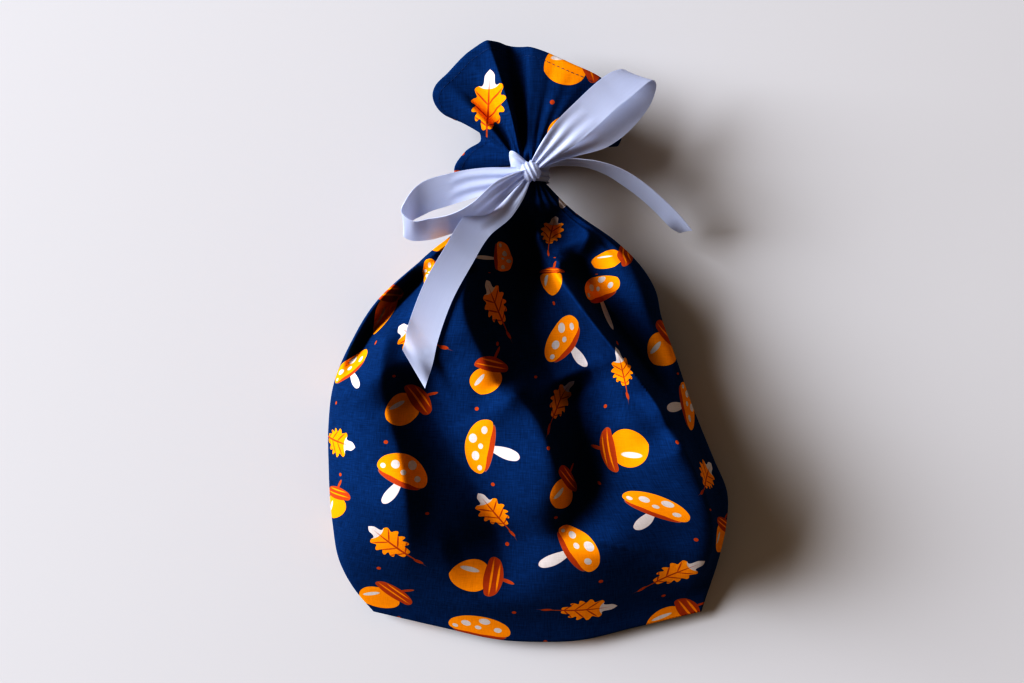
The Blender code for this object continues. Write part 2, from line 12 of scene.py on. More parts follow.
import bmesh
import bpy
import numpy as np
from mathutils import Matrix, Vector


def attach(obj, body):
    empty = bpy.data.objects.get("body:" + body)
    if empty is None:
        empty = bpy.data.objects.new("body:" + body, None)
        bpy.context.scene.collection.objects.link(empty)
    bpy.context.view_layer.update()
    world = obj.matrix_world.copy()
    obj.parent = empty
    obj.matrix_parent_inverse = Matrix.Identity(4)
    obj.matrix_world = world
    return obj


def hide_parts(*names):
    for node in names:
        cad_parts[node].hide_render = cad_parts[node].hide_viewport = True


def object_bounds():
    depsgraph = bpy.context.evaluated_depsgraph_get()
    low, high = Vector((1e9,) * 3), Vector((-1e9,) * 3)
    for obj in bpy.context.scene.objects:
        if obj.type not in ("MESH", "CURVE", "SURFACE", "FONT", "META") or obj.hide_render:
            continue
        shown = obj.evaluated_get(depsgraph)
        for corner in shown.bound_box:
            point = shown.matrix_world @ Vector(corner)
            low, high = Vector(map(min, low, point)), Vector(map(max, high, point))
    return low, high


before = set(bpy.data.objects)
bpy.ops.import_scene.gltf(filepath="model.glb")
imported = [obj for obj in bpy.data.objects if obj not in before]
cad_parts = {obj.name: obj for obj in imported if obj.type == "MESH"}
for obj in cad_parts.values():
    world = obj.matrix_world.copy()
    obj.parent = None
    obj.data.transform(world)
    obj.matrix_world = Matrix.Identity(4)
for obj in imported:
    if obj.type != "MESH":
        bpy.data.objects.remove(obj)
cad_low, cad_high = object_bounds()
print("packed nodes:", sorted(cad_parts), "box:", [round(v, 4) for v in (*cad_low, *cad_high)])

# %% [markdown]
# ## Camera
#
# The pouch was seen from straight above, with its neck away from the viewer. The lens is a plain
# 50 mm one on a 36 mm sensor. The ribbon's width, 16 mm, gives the distance: a flat piece of it at
# the height of the bow covers as many pixels as it should from 0.757 m up.

# %% Camera
CAMERA_PLACE = (-0.0084, 0.0037, 0.757)


def in_scene(name, data):
    """A new object with this data, put in the scene."""
    thing = bpy.data.objects.new(name, data)
    bpy.context.scene.collection.objects.link(thing)
    return thing


camera = in_scene("camera", bpy.data.cameras.new("camera"))
camera.data.lens = 50
camera.data.sensor_width = 36
camera.location = CAMERA_PLACE
bpy.context.scene.camera = camera
print("camera", CAMERA_PLACE)

# %% [markdown]
# ## Two helpers
#
# Everything here follows smooth curves through a few chosen places, so one function draws such a
# curve and another fades an effect in and out.

# %% Curves and fades
def curve_through(knots, at):
    """Smooth curve through (place, value) pairs; a value may be a number or a row of numbers."""
    places = np.array([knot[0] for knot in knots], float)
    values = np.array([knot[1] for knot in knots], float)
    slopes = np.gradient(values, places, axis=0)
    at = np.clip(np.asarray(at, float), places[0], places[-1])
    i = np.clip(np.searchsorted(places, at, side="right") - 1, 0, len(places) - 2)
    step = places[i + 1] - places[i]
    t = (at - places[i]) / step
    if values.ndim > 1:
        t, step = t[..., None], step[..., None]
    near = (1 + 2 * t) * (1 - t) ** 2 * values[i] + t * (1 - t) ** 2 * step * slopes[i]
    far = t ** 2 * (3 - 2 * t) * values[i + 1] - t ** 2 * (1 - t) * step * slopes[i + 1]
    return near + far


def closed_curve_through(knots, at):
    around = [(k[0] - 1, k[1]) for k in knots[-3:]] + list(knots) + [(k[0] + 1, k[1]) for k in knots[:3]]
    return curve_through(around, at)


def smooth_step(low, high, at):
    t = np.clip((np.asarray(at, float) - low) / (high - low), 0, 1)
    return t * t * (3 - 2 * t)


def unit(vectors):
    return vectors / np.linalg.norm(vectors, axis=-1, keepdims=True)

# %% [markdown]
# ## The pouch's form
#
# A filled pouch is a pillow whose far end is drawn together. Its outline, its crown and its side edge
# are curves along its length; each cross-section is a rounded oblong between them. The folds that run
# out of the tie are ridges and valleys laid along routes over that pillow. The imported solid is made
# by the same rule, so the finer cloth here stays close to the solid. Only the valley down the left
# runs out a little straighter.

# %% Sizes of the pouch, in metres
BODY_WIDTH, BODY_LENGTH, BODY_HEIGHT = 0.205, 0.222, 0.070
HALF_WIDTH = BODY_WIDTH / 2
BOTTOM_SAG = 0.016
REST_PRESS = 0.007
NECK_RADIUS, NECK_HEIGHT, NECK_LENGTH, NECK_OFFSET = 0.008, 0.037, 0.010, 0.001
PLEATS, PLEAT_DEPTH = 24, 0.0011  # round the tie, twice as many as the solid has
COLLAR_LENGTH = 0.068
COTTON = 0.0006  # two thin layers, a little thicker than life so that the edge shows
HEM_DEPTH = 0.005
TIE_MIDDLE = BODY_LENGTH + NECK_LENGTH / 2
COLLAR_START = BODY_LENGTH + NECK_LENGTH
FRONT_SECTION, BACK_SECTION, NECK_SECTION = (2.7, 0.64), (2.4, 0.62), (2.0, 0.5)
SHIFT = np.array([-0.00012, cad_low[1] + BOTTOM_SAG, 0.0])  # from the bottom corners to the object's middle

LEFT_SIDE = ((0.0, -0.793), (0.05, -0.875), (0.12, -0.95), (0.22, -0.985), (0.36, -1.0),
             (0.45, -1.0), (0.54, -0.975), (0.64, -0.885), (0.735, -0.755), (0.85, -0.475),
             (0.93, -0.26), (1.0, (NECK_OFFSET - NECK_RADIUS) / HALF_WIDTH))
RIGHT_SIDE = ((0.0, 0.893), (0.05, 0.92), (0.13, 0.965), (0.22, 1.0), (0.29, 1.0), (0.37, 0.93),
              (0.49, 0.825), (0.61, 0.735), (0.7, 0.665), (0.76, 0.635), (0.81, 0.57), (0.87, 0.44),
              (0.94, 0.225), (1.0, (NECK_OFFSET + NECK_RADIUS) / HALF_WIDTH))
BOTTOM_EDGE = ((0.0, 0.0), (0.2, 0.5), (0.4, 0.95), (0.5, 1.0), (0.62, 0.96), (0.8, 0.52), (1.0, 0.0))
CROWN = ((0.0, 0.64), (0.08, 0.80), (0.2, 0.97), (0.35, 1.0), (0.5, 0.985), (0.65, 0.93),
         (0.78, 0.83), (0.88, 0.70), (0.95, 0.63), (1.0, (NECK_HEIGHT + NECK_RADIUS) / BODY_HEIGHT))
SIDE_EDGE = ((0.0, 0.10), (0.1, 0.23), (0.3, 0.36), (0.5, 0.38), (0.7, 0.40), (0.85, 0.44),
             (0.95, 0.48), (1.0, NECK_HEIGHT / BODY_HEIGHT))
# share of the rise that the front has reached, from the flat bottom seam up its sloping foot
FOOT = ((0.0, 0.0), (0.04, 0.08), (0.1, 0.3), (0.18, 0.6), (0.26, 0.83), (0.34, 0.96), (0.42, 1.0),
        (1.0, 1.0))
BACK = ((0.0, 0.0), (0.06, 0.9), (0.12, 1.0), (0.7, 1.0), (0.8, 0.86), (0.9, 0.50), (0.96, 0.30),
        (1.0, NECK_RADIUS / NECK_HEIGHT))

# %% Folds of the front
# Route as (share of half the width, share of the length), rise as a share of the height, spreads of the
# left and right flanks as shares of half the width
FOLDS = (
    # ridge from the neck down the left of the middle hollow
    (((-0.07, 0.95), (-0.19, 0.87), (-0.27, 0.8), (-0.31, 0.74), (-0.29, 0.68), (-0.22, 0.61),
      (-0.13, 0.53), (-0.02, 0.46)), 0.21, 0.2, 0.06),
    # deep hollow below the knot, and its floor along the long ridge
    (((0.01, 0.96), (0.02, 0.88), (0.0, 0.82), (-0.01, 0.75), (0.02, 0.68), (0.08, 0.61),
      (0.17, 0.53), (0.27, 0.44)), -0.42, 0.19, 0.2),
    (((0.04, 0.88), (0.08, 0.81), (0.13, 0.75), (0.19, 0.69), (0.26, 0.63), (0.31, 0.55), (0.32, 0.46)),
     -0.16, 0.12, 0.06),
    # long ridge from the neck to the right side, and the valley on its right
    (((0.03, 0.94), (0.05, 0.88), (0.1, 0.815), (0.16, 0.77), (0.27, 0.7), (0.38, 0.635), (0.55, 0.54),
      (0.66, 0.45), (0.74, 0.36)), 0.24, 0.035, 0.055),
    (((0.2, 0.87), (0.33, 0.77), (0.47, 0.68), (0.6, 0.59), (0.72, 0.47)), -0.36, 0.08, 0.1),
    # right shoulder, and the slack fold with its dimple between it and the long ridge
    (((0.15, 0.97), (0.3, 0.91), (0.44, 0.85), (0.54, 0.77), (0.6, 0.68), (0.67, 0.6)), 0.07, 0.12, 0.07),
    (((0.12, 0.82), (0.2, 0.825), (0.28, 0.86), (0.28, 0.93)), 0.12, 0.045, 0.05),
    (((0.1, 0.94), (0.15, 0.9), (0.16, 0.86)), -0.1, 0.045, 0.06),
    # rim along the left side seam and the valley inside it
    (((-0.36, 0.9), (-0.52, 0.83), (-0.68, 0.775), (-0.79, 0.71), (-0.87, 0.65), (-0.94, 0.58),
      (-0.96, 0.5)), 0.42, 0.04, 0.035),
    (((-0.48, 0.83), (-0.6, 0.77), (-0.7, 0.725), (-0.77, 0.685), (-0.83, 0.645), (-0.88, 0.6),
      (-0.91, 0.53)), -0.5, 0.045, 0.065),
    # broad crests and valleys over the lower front
    (((-0.66, 0.7), (-0.7, 0.6), (-0.68, 0.49), (-0.61, 0.38), (-0.58, 0.24), (-0.62, 0.08)),
     0.16, 0.24, 0.07),
    (((-0.62, 0.6), (-0.5, 0.5), (-0.38, 0.4), (-0.24, 0.3), (-0.16, 0.21), (-0.11, 0.11), (-0.08, 0.02)),
     -0.32, 0.22, 0.2),
    (((-0.13, 0.56), (0.02, 0.48), (0.1, 0.4), (0.18, 0.3), (0.26, 0.2)), 0.2, 0.17, 0.06),
    (((0.18, 0.57), (0.25, 0.49), (0.27, 0.4), (0.25, 0.32), (0.2, 0.24), (0.15, 0.17)),
     -0.38, 0.1, 0.15),
    (((0.62, 0.55), (0.7, 0.45), (0.79, 0.34), (0.87, 0.24), (0.88, 0.14), (0.8, 0.05)), 0.12, 0.34, 0.06),
    (((0.66, 0.46), (0.77, 0.37), (0.85, 0.29), (0.89, 0.21), (0.86, 0.11), (0.78, 0.03)), 0.2, 0.15, 0.05),
    # slack across the foot of the front
    (((-0.43, 0.16), (-0.14, 0.2), (0.15, 0.2), (0.43, 0.18)), -0.05, 0.1, 0.1),
)
FOLD_FADE = (0.12, 0.3)  # shares of a fold's route over which it grows and dies away
FOLD_POWER = 1.5  # 2 makes round folds, less makes them crisper
FOLD_STEPS = 24  # straight pieces into which a route is cut to measure from


def fold_height(x, y):
    """Rise of the folds over the plain pillow at each place."""
    total = np.zeros(np.shape(x))
    place = np.stack([x, y], -1)[..., None, :]
    for route, rise, left_spread, right_spread in FOLDS:
        last = len(route) - 1
        knots = [(i / last, (a * HALF_WIDTH, b * BODY_LENGTH)) for i, (a, b) in enumerate(route)]
        line = curve_through(knots, np.linspace(0, 1, FOLD_STEPS + 1))
        legs = line[1:] - line[:-1]
        away = place - line[:-1]
        on_leg = np.clip((away * legs).sum(-1) / (legs ** 2).sum(-1), 0, 1)
        miss = away - on_leg[..., None] * legs
        nearest = np.argmin((miss ** 2).sum(-1), axis=-1)[..., None]
        miss = np.take_along_axis(miss, nearest[..., None], -2)[..., 0, :]
        share = (nearest + np.take_along_axis(on_leg, nearest, -1))[..., 0] / FOLD_STEPS
        leg = legs[nearest[..., 0]]
        side = miss[..., 0] * np.abs(leg[..., 1]) - miss[..., 1] * np.sign(leg[..., 1]) * leg[..., 0]
        spread = np.where(side < 0, left_spread, right_spread) * HALF_WIDTH
        ends = smooth_step(0, FOLD_FADE[0], share) * smooth_step(0, FOLD_FADE[1], 1 - share)
        distance = np.linalg.norm(miss, axis=-1)
        total += rise * BODY_HEIGHT * ends * np.exp(-(distance / spread) ** FOLD_POWER)
    return total


print(len(FOLDS), "folds over the front")

# %% Body surface
def body_frame(s):
    """Left and right limits, edge height, rise of the front and depth of the back along the length."""
    left = curve_through(LEFT_SIDE, s) * HALF_WIDTH
    right = curve_through(RIGHT_SIDE, s) * HALF_WIDTH
    edge = curve_through(SIDE_EDGE, s) * BODY_HEIGHT
    top = curve_through(CROWN, s) * BODY_HEIGHT
    press = REST_PRESS * smooth_step(0.02, 0.12, s) * (1 - smooth_step(0.66, 0.80, s))
    return left, right, edge, (top - edge) * curve_through(FOOT, s), curve_through(BACK, s) * edge + press


def section_height(across, s, rise, section):
    roundness = smooth_step(0.8, 1.0, s)
    outer = section[0] + (NECK_SECTION[0] - section[0]) * roundness
    inner = section[1] + (NECK_SECTION[1] - section[1]) * roundness
    return rise * (1 - np.abs(across) ** outer) ** inner


def fold_mask(across, s):
    return (1 - np.abs(across) ** 16) * smooth_step(0.0, 0.12, s) * (1 - smooth_step(0.93, 0.995, s))


def gathers(turn):
    """Depth of the fine pleats round the tie, uneven as cloth is."""
    wave = np.cos(2 * math.pi * PLEATS * turn + 1.7 * np.sin(2 * math.pi * 2 * turn)
                  + 0.9 * np.sin(2 * math.pi * 5 * turn))
    return PLEAT_DEPTH * (0.5 - 0.5 * wave)


def body_point(s, turn):
    """Points of the body: s from the bottom seam to the tie, turn once round from the right edge."""
    left, right, edge, rise, back = body_frame(s)
    angle = 2 * math.pi * turn
    across, upper = np.cos(angle), np.sin(angle) >= 0
    depth = gathers(turn) * smooth_step(0.74, 1.0, s) * (1 + 1.5 * (1 - smooth_step(0.84, 1.0, s)))
    x = (left + right) / 2 + ((right - left) / 2 - depth * np.abs(across)) * across
    y = BODY_LENGTH * s - BOTTOM_SAG * curve_through(BOTTOM_EDGE, (1 + across) / 2) * (1 - s) ** 3
    top = section_height(across, s, rise, FRONT_SECTION) + fold_height(x, y) * fold_mask(across, s)
    below = section_height(across, s, back, BACK_SECTION)
    z = edge + np.where(upper, top, -below) - depth * np.sin(angle)
    return np.stack(np.broadcast_arrays(x, y, np.maximum(z, 0)), -1)


def front_height(x, y):
    """Height of the front at places in plan, for what lies on it."""
    s = np.clip(y / BODY_LENGTH, 0, 1)
    left, right, edge, rise, _ = body_frame(s)
    across = np.clip((x - (left + right) / 2) / ((right - left) / 2), -1, 1)
    return edge + section_height(across, s, rise, FRONT_SECTION) + fold_height(x, y) * fold_mask(across, s)

# %% [markdown]
# ## The collar
#
# Past the tie the cloth springs open again into a frill with a hemmed edge. It is described once
# round: where the hem is seen from the tie, as a direction and a reach, and how high it stands. It
# fans out over the front, folds under on the left, comes out as a small second lobe and returns
# below. Radial folds run from the tie to the hem.

# %% Collar surface
# share of the round, direction in degrees from +X, share of the collar's length, share of the neck's height
MOUTH = ((0.0, 20, 0.70, 0.62), (0.05, 33, 0.84, 0.86), (0.12, 50, 0.88, 1.02),
         (0.20, 70, 0.865, 1.08), (0.28, 91, 0.935, 1.10), (0.36, 110, 1.02, 1.06),
         (0.425, 128, 0.985, 0.90),
         (0.465, 140, 0.96, 0.66), (0.50, 143, 0.80, 0.50), (0.535, 136, 0.58, 0.44),
         (0.575, 143, 0.47, 0.50), (0.615, 158, 0.53, 0.56), (0.655, 172, 0.58, 0.44),
         (0.69, 178, 0.55, 0.24), (0.725, 168, 0.45, 0.12), (0.78, 140, 0.44, 0.12),
         (0.84, 106, 0.72, 0.16), (0.90, 70, 0.76, 0.20), (0.96, 34, 0.72, 0.36))
# direction, rise as a share of the length, spread in degrees, share of the rise left at the hem
COLLAR_FOLDS = ((97, -0.13, 5.0, 0.8), (109, 0.07, 4.5, 0.8), (124, -0.09, 5.0, 0.2), (65, 0.02, 14.0, 1.0),
                (137, 0.05, 5.0, 0.7))
# the sharper pleats among them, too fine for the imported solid: direction, rise, spreads of the two
# sides in degrees, share left at the hem
COLLAR_PLEATS = ((108, 0.05, 1.6, 2.6, 0.75), (101, -0.055, 4.5, 2.2, 0.8), (91.5, 0.03, 5.0, 1.2, 0.5),
                 (129, -0.06, 5.5, 3.0, 0.25), (118, 0.02, 4.0, 3.0, 0.4), (147, 0.07, 3.5, 5.0, 0.8),
                 (78, -0.012, 2.5, 4.0, 0.3))


def neck_ring(turn):
    radius = NECK_RADIUS - gathers(turn)
    angle = 2 * math.pi * turn
    return NECK_OFFSET + radius * np.cos(angle), NECK_HEIGHT + radius * np.sin(angle)


def collar_point(t, turn):
    """Points of the collar's outer face: t from the tie to the hem."""
    start_x, start_z = neck_ring(turn)
    mouth = closed_curve_through([(m[0], m[1:]) for m in MOUTH], turn)
    direction = mouth[..., 0]
    reach = mouth[..., 1] * COLLAR_LENGTH
    end_x = NECK_OFFSET + reach * np.cos(np.radians(direction))
    end_y = TIE_MIDDLE + reach * np.sin(np.radians(direction))
    end_z = mouth[..., 2] * NECK_HEIGHT
    bend_x = start_x + 0.30 * (end_x - start_x)
    bend_y = COLLAR_START + 0.42 * (end_y - COLLAR_START) + 0.05 * COLLAR_LENGTH
    bend_z = start_z + 0.15 * (end_z - start_z)
    a, b, c = (1 - t) ** 2, 2 * t * (1 - t), t ** 2
    x = a * start_x + b * bend_x + c * end_x
    y = a * COLLAR_START + b * bend_y + c * end_y
    z = a * start_z + b * bend_z + c * end_z
    front = 1 - smooth_step(0.44, 0.48, turn)
    for centre, rise, spread, left_at_hem in COLLAR_FOLDS:
        growth = smooth_step(0.03, 0.4, t) * (1 - (1 - left_at_hem) * smooth_step(0.45, 1.0, t))
        z = z + rise * COLLAR_LENGTH * growth * front * np.exp(-((direction - centre) / spread) ** 2)
    for centre, rise, right_spread, left_spread, left_at_hem in COLLAR_PLEATS:
        growth = smooth_step(0.03, 0.3, t) * (1 - (1 - left_at_hem) * smooth_step(0.35, 1.0, t))
        spread = np.where(direction < centre, right_spread, left_spread)
        away = np.abs(direction - centre) / spread
        z = z + rise * COLLAR_LENGTH * growth * front * np.exp(-away ** 1.6)
    return np.stack(np.broadcast_arrays(x, y, z), -1)

# %% [markdown]
# ## One skin of cloth
#
# The whole bag is one closed grid of points: body, neck, the collar's outside, its hem and its
# inside. Each row has its points spread evenly by distance, more of them on the front than on the
# back, so that a fold is as crisp at the side as in the middle. Distances along the rows also give
# the cloth its own flat coordinates, in metres of cloth, which the print and the weave follow.

# %% Grid of the cloth
FRONT_STEPS, BACK_STEPS = 208, 104
AROUND = FRONT_STEPS + BACK_STEPS
BODY_ROWS, NECK_ROWS, COLLAR_ROWS = 176, 5, 52
MEASURED = 600  # small steps by which a row's length is measured
BATCH = 24  # rows worked out together


def even_rows(surface, places):
    """The surface's points at each place, spread evenly along each row, and their turns."""
    turn = np.linspace(0, 1, MEASURED + 1)
    starts = range(0, len(places), BATCH)
    turns = []
    for start in starts:
        dense = surface(places[start:start + BATCH, None], turn[None, :])
        run = np.cumsum(np.linalg.norm(np.diff(dense, axis=1), axis=-1), axis=1)
        for row in np.pad(run, ((0, 0), (1, 0))):
            half = row[MEASURED // 2]
            ends = np.concatenate([np.linspace(0, half, FRONT_STEPS + 1)[:-1],
                                   np.linspace(half, row[-1], BACK_STEPS + 1)[:-1]])
            turns.append(np.interp(ends, row, turn))
    turns = np.array(turns)
    points = [surface(places[start:start + BATCH, None], turns[start:start + BATCH]) for start in starts]
    return np.concatenate(points), turns


share = np.linspace(0, 1, BODY_ROWS + 1)
body_places = 0.75 * share + 0.25 * (0.5 - 0.5 * np.cos(math.pi * share))  # closer at both ends
body, body_turns = even_rows(body_point, body_places)
collar, collar_turns = even_rows(collar_point, np.linspace(0, 1, COLLAR_ROWS + 1))
print("body", body.shape, "collar", collar.shape)

# %% Skin, with its hem and its inside
HEM_EDGE = (HEM_DEPTH - 0.0008, HEM_DEPTH + 0.0004)  # where the turned-in cloth ends
HEM_EXTRA = 0.9  # how much thicker the hem is, as a share of the cloth
LIP_BULGE = 0.8  # how far the folded edge bulges, as a share of the cloth
DEEPEST = 6  # the collar's row at which its inside ends, deep in the gathers
along = np.gradient(collar, axis=0)
round_it = np.roll(collar, -1, axis=1) - np.roll(collar, 1, axis=1)
inward = unit(np.cross(round_it, along))
from_hem = np.cumsum(np.linalg.norm(np.diff(collar, axis=0), axis=-1)[::-1], axis=0)[::-1]
from_hem = np.concatenate([from_hem, np.zeros((1, AROUND))])
wall = COTTON * (1 + HEM_EXTRA * (1 - smooth_step(*HEM_EDGE, from_hem)))
outside = collar - inward * (wall - COTTON)[..., None] / 2
inside = collar + inward * (wall + (wall - COTTON) / 2)[..., None]
lip = (outside[-1] + inside[-1]) / 2 + unit(along[-1]) * COTTON * LIP_BULGE

neck_rows = []
for row in range(1, NECK_ROWS):
    k = row / NECK_ROWS
    x, z = neck_ring(body_turns[-1] * (1 - k) + collar_turns[0] * k)
    neck_rows.append(np.stack([x, np.full(AROUND, BODY_LENGTH + NECK_LENGTH * k), z], -1))
rings = np.concatenate([body, np.array(neck_rows), outside, lip[None], inside[COLLAR_ROWS:DEEPEST - 1:-1]])
OUTSIDE_START = BODY_ROWS + NECK_ROWS
LIP = OUTSIDE_START + COLLAR_ROWS + 1
print(len(rings), "rows of", AROUND, "points")

# %% Cloth coordinates
ROWS_AVERAGED = 14  # woven cloth hardly shears, so neighbouring rows share their stretch
COLUMNS = 400  # over which the stretch is measured


def cloth_across(face):
    """How far each point of a face lies across the cloth from the body's middle line."""
    places = np.linspace(-HALF_WIDTH, HALF_WIDTH, COLUMNS + 1)
    heights = np.array([np.interp(places, row[:, 0], row[:, 2]) for row in face])
    stretch = np.hypot(np.diff(heights, axis=1) / np.diff(places), 1.0)
    reach = np.arange(-3 * ROWS_AVERAGED, 3 * ROWS_AVERAGED + 1)
    weights = np.exp(-(reach / ROWS_AVERAGED) ** 2)
    padded = np.pad(stretch, ((reach[-1], reach[-1]), (0, 0)), mode="edge")
    even = sum(w * padded[k:k + len(face)] for k, w in enumerate(weights / weights.sum()))
    run = np.concatenate([np.zeros((len(face), 1)), np.cumsum(even * np.diff(places), axis=1)], axis=1)
    run -= run[:, COLUMNS // 2, None]
    return np.array([np.interp(row[:, 0], places, line) for row, line in zip(face, run)])


front_u = np.zeros((len(rings), AROUND + 1))
front_u[:, :FRONT_STEPS + 1] = cloth_across(rings[:, FRONT_STEPS::-1])[:, ::-1]
back_u = np.zeros((len(rings), AROUND + 1))
back_u[:, FRONT_STEPS:] = -cloth_across(rings[:, np.r_[FRONT_STEPS:AROUND, 0]])
middle_line = rings[:, FRONT_STEPS // 2]
down = np.concatenate([[0], np.cumsum(np.linalg.norm(np.diff(middle_line, axis=0), axis=-1))])
print(f"cloth from the bottom seam to the tie: {down[BODY_ROWS] * 1000:.0f} mm")

# %% Pouch mesh
PLAN_FROM = OUTSIDE_START + 1
PLEATED_AWAY = 0.015  # the cloth that the tie and the pleats take up before the print shows again
BACK_MOVED, UNDERSIDE_MOVED = 0.31, 0.23  # so that the print behind doesn't mirror the one in front


def cotton_uv(row, i, j):
    """Cloth coordinates of a row's four corners: by distance on the body, by plan on the fanned collar."""
    on_front = i < FRONT_STEPS
    corners = []
    for r, k in ((row, i), (row, j), (row + 1, j), (row + 1, i)):
        if row < PLAN_FROM:
            u = np.where(on_front, front_u[r, k], back_u[r, k] + BACK_MOVED)
            v = np.full(len(i), down[r])
        else:
            place = rings[r, k % AROUND]
            u = np.where(on_front, place[:, 0], UNDERSIDE_MOVED - place[:, 0])
            v = place[:, 1] + down[BODY_ROWS] - BODY_LENGTH - PLEATED_AWAY
        corners.append(np.stack([u, v], -1))
    return np.stack(corners, 1)


def welded(mesh, distance):
    """Join the points that meet, face everything outwards and put the smooth mesh in the scene."""
    shape = bmesh.new()
    shape.from_mesh(mesh)
    bmesh.ops.remove_doubles(shape, verts=shape.verts, dist=distance)
    bmesh.ops.recalc_face_normals(shape, faces=shape.faces)
    shape.to_mesh(mesh)
    shape.free()
    mesh.shade_smooth()
    return in_scene(mesh.name, mesh)


i = np.arange(AROUND)
j = (i + 1) % AROUND
faces, uvs = [], []
for row in range(len(rings) - 1):
    a, b = row * AROUND, (row + 1) * AROUND
    faces.append(np.stack([a + i, a + j, b + j, b + i], -1))
    uvs.append(cotton_uv(row, i, i + 1))
# front and back meet at the bottom seam; the other end, deep inside the collar, is closed by a fan
points = (rings + SHIFT).reshape(-1, 3)
last = (len(rings) - 1) * AROUND
points = np.concatenate([points, [points[last:].mean(axis=0)]])
fan = [(last + k, last + (k + 1) % AROUND, len(points) - 1) for k in range(AROUND)]
mesh = bpy.data.meshes.new("printed_pouch")
mesh.from_pydata(points.tolist(), [], np.concatenate(faces).tolist() + fan)
wrong_side = np.repeat(np.arange(len(rings) - 1) >= LIP, AROUND).astype(int).tolist() + [1] * AROUND
mesh.polygons.foreach_set("material_index", wrong_side)
flat = np.zeros((len(mesh.loops), 2))
flat[:len(uvs) * AROUND * 4] = np.concatenate(uvs).reshape(-1, 2)
mesh.uv_layers.new(name="cloth").data.foreach_set("uv", flat.ravel())
pouch = welded(mesh, 1e-6)
print("pouch:", len(mesh.polygons), "faces")

# %% [markdown]
# ## Adding nodes
#
# A material is a tree of nodes. This one small function adds a node with its settings and fills its
# inputs, so a material reads as a list of what it is made of: a node or a socket is linked in, and
# anything else is a value. Colours are given as the sRGB hex values that a colour picker shows and
# are turned to the linear values that a shader works with.

# %% Node and colour helpers
MIX_COLOURS = {"data_type": "RGBA"}  # such a Mix node takes its two colours at 6 and 7 and gives one at 2
TINT = {"data_type": "RGBA", "blend_type": "MULTIPLY"}


def add(tree, kind, settings=None, inputs=None):
    """Add a node with its settings, then link or set its inputs."""
    node = tree.nodes.new(kind)
    for name, value in (settings or {}).items():
        setattr(node, name, value)
    for socket, given in (inputs or {}).items():
        given = given.outputs[0] if isinstance(given, bpy.types.Node) else given
        if isinstance(given, bpy.types.NodeSocket):
            tree.links.new(given, node.inputs[socket])
        else:
            node.inputs[socket].default_value = given
    return node


def linear(hex_colour):
    parts = [int(hex_colour[k:k + 2], 16) / 255 for k in (1, 3, 5)]
    return (*[p / 12.92 if p <= 0.04045 else ((p + 0.055) / 1.055) ** 2.4 for p in parts], 1.0)


def new_material(name):
    material = bpy.data.materials.new(name)
    material.use_nodes = True
    tree = material.node_tree
    return material, tree, tree.nodes["Principled BSDF"]

# %% [markdown]
# ## The print
#
# Quilting cotton like this is screen printed with a scattered, tossed design: one motif about 30 mm
# long in every 49 mm or so of cloth, turned this way and that, with tiny dots between. The motifs
# here are an oak leaf with a pale tip, an acorn and a toadstool, in orange, cream and rust. Each is
# drawn from a few shapes. A shape is a centre, a size and an outline given as a radius at even steps
# from its top round to its bottom, the same on both sides.

# %% A printed shape
PRINT_ORANGE, PRINT_CREAM, PRINT_RUST = "#F09C12", "#D2CAC6", "#B4532A"
INK_SPREAD = 0.12  # mm over which the edge of the ink fades


def shape_mask(tree, place, centre, size, tilt, outline):
    """1 inside the shape and 0 outside, from a place in millimetres."""
    local = add(tree, "ShaderNodeMapping", {"vector_type": "TEXTURE"},
                {"Vector": place, "Location": (*centre, 0), "Rotation": (0, 0, math.radians(tilt)),
                 "Scale": (*size, 1)}).outputs[0]
    reach = add(tree, "ShaderNodeVectorMath", {"operation": "LENGTH"}, {0: local}).outputs["Value"]
    limit = 1.0
    if outline:
        split = add(tree, "ShaderNodeSeparateXYZ", None, {0: local})
        aside = add(tree, "ShaderNodeMath", {"operation": "ABSOLUTE"}, {0: split.outputs["X"]})
        turn = add(tree, "ShaderNodeMath", {"operation": "ARCTAN2"}, {0: aside, 1: split.outputs["Y"]})
        part = add(tree, "ShaderNodeMath", {"operation": "DIVIDE"}, {0: turn, 1: math.pi})
        curve = add(tree, "ShaderNodeFloatCurve", None, {"Value": part})
        points = curve.mapping.curves[0].points
        last = len(outline) - 1
        points[0].location = (0, outline[0])
        points[-1].location = (1, outline[last])
        for k in range(1, last):
            points.new(k / last, outline[k])
        curve.mapping.update()
        reach = add(tree, "ShaderNodeMath", {"operation": "SUBTRACT"}, {0: reach, 1: curve}).outputs[0]
        limit = 0.0
    fade = INK_SPREAD / min(size)
    return add(tree, "ShaderNodeMapRange", None,
               {"Value": reach, "From Min": limit + fade, "From Max": limit - fade}).outputs[0]


def open_group(name, given):
    """A node group that turns a vector into a colour and a mask, and its input."""
    tree = bpy.data.node_groups.new(name, "ShaderNodeTree")
    tree.interface.new_socket(given, in_out="INPUT", socket_type="NodeSocketVector")
    tree.interface.new_socket("Colour", in_out="OUTPUT", socket_type="NodeSocketColor")
    tree.interface.new_socket("Mask", in_out="OUTPUT", socket_type="NodeSocketFloat")
    return tree, tree.nodes.new("NodeGroupInput").outputs[0]


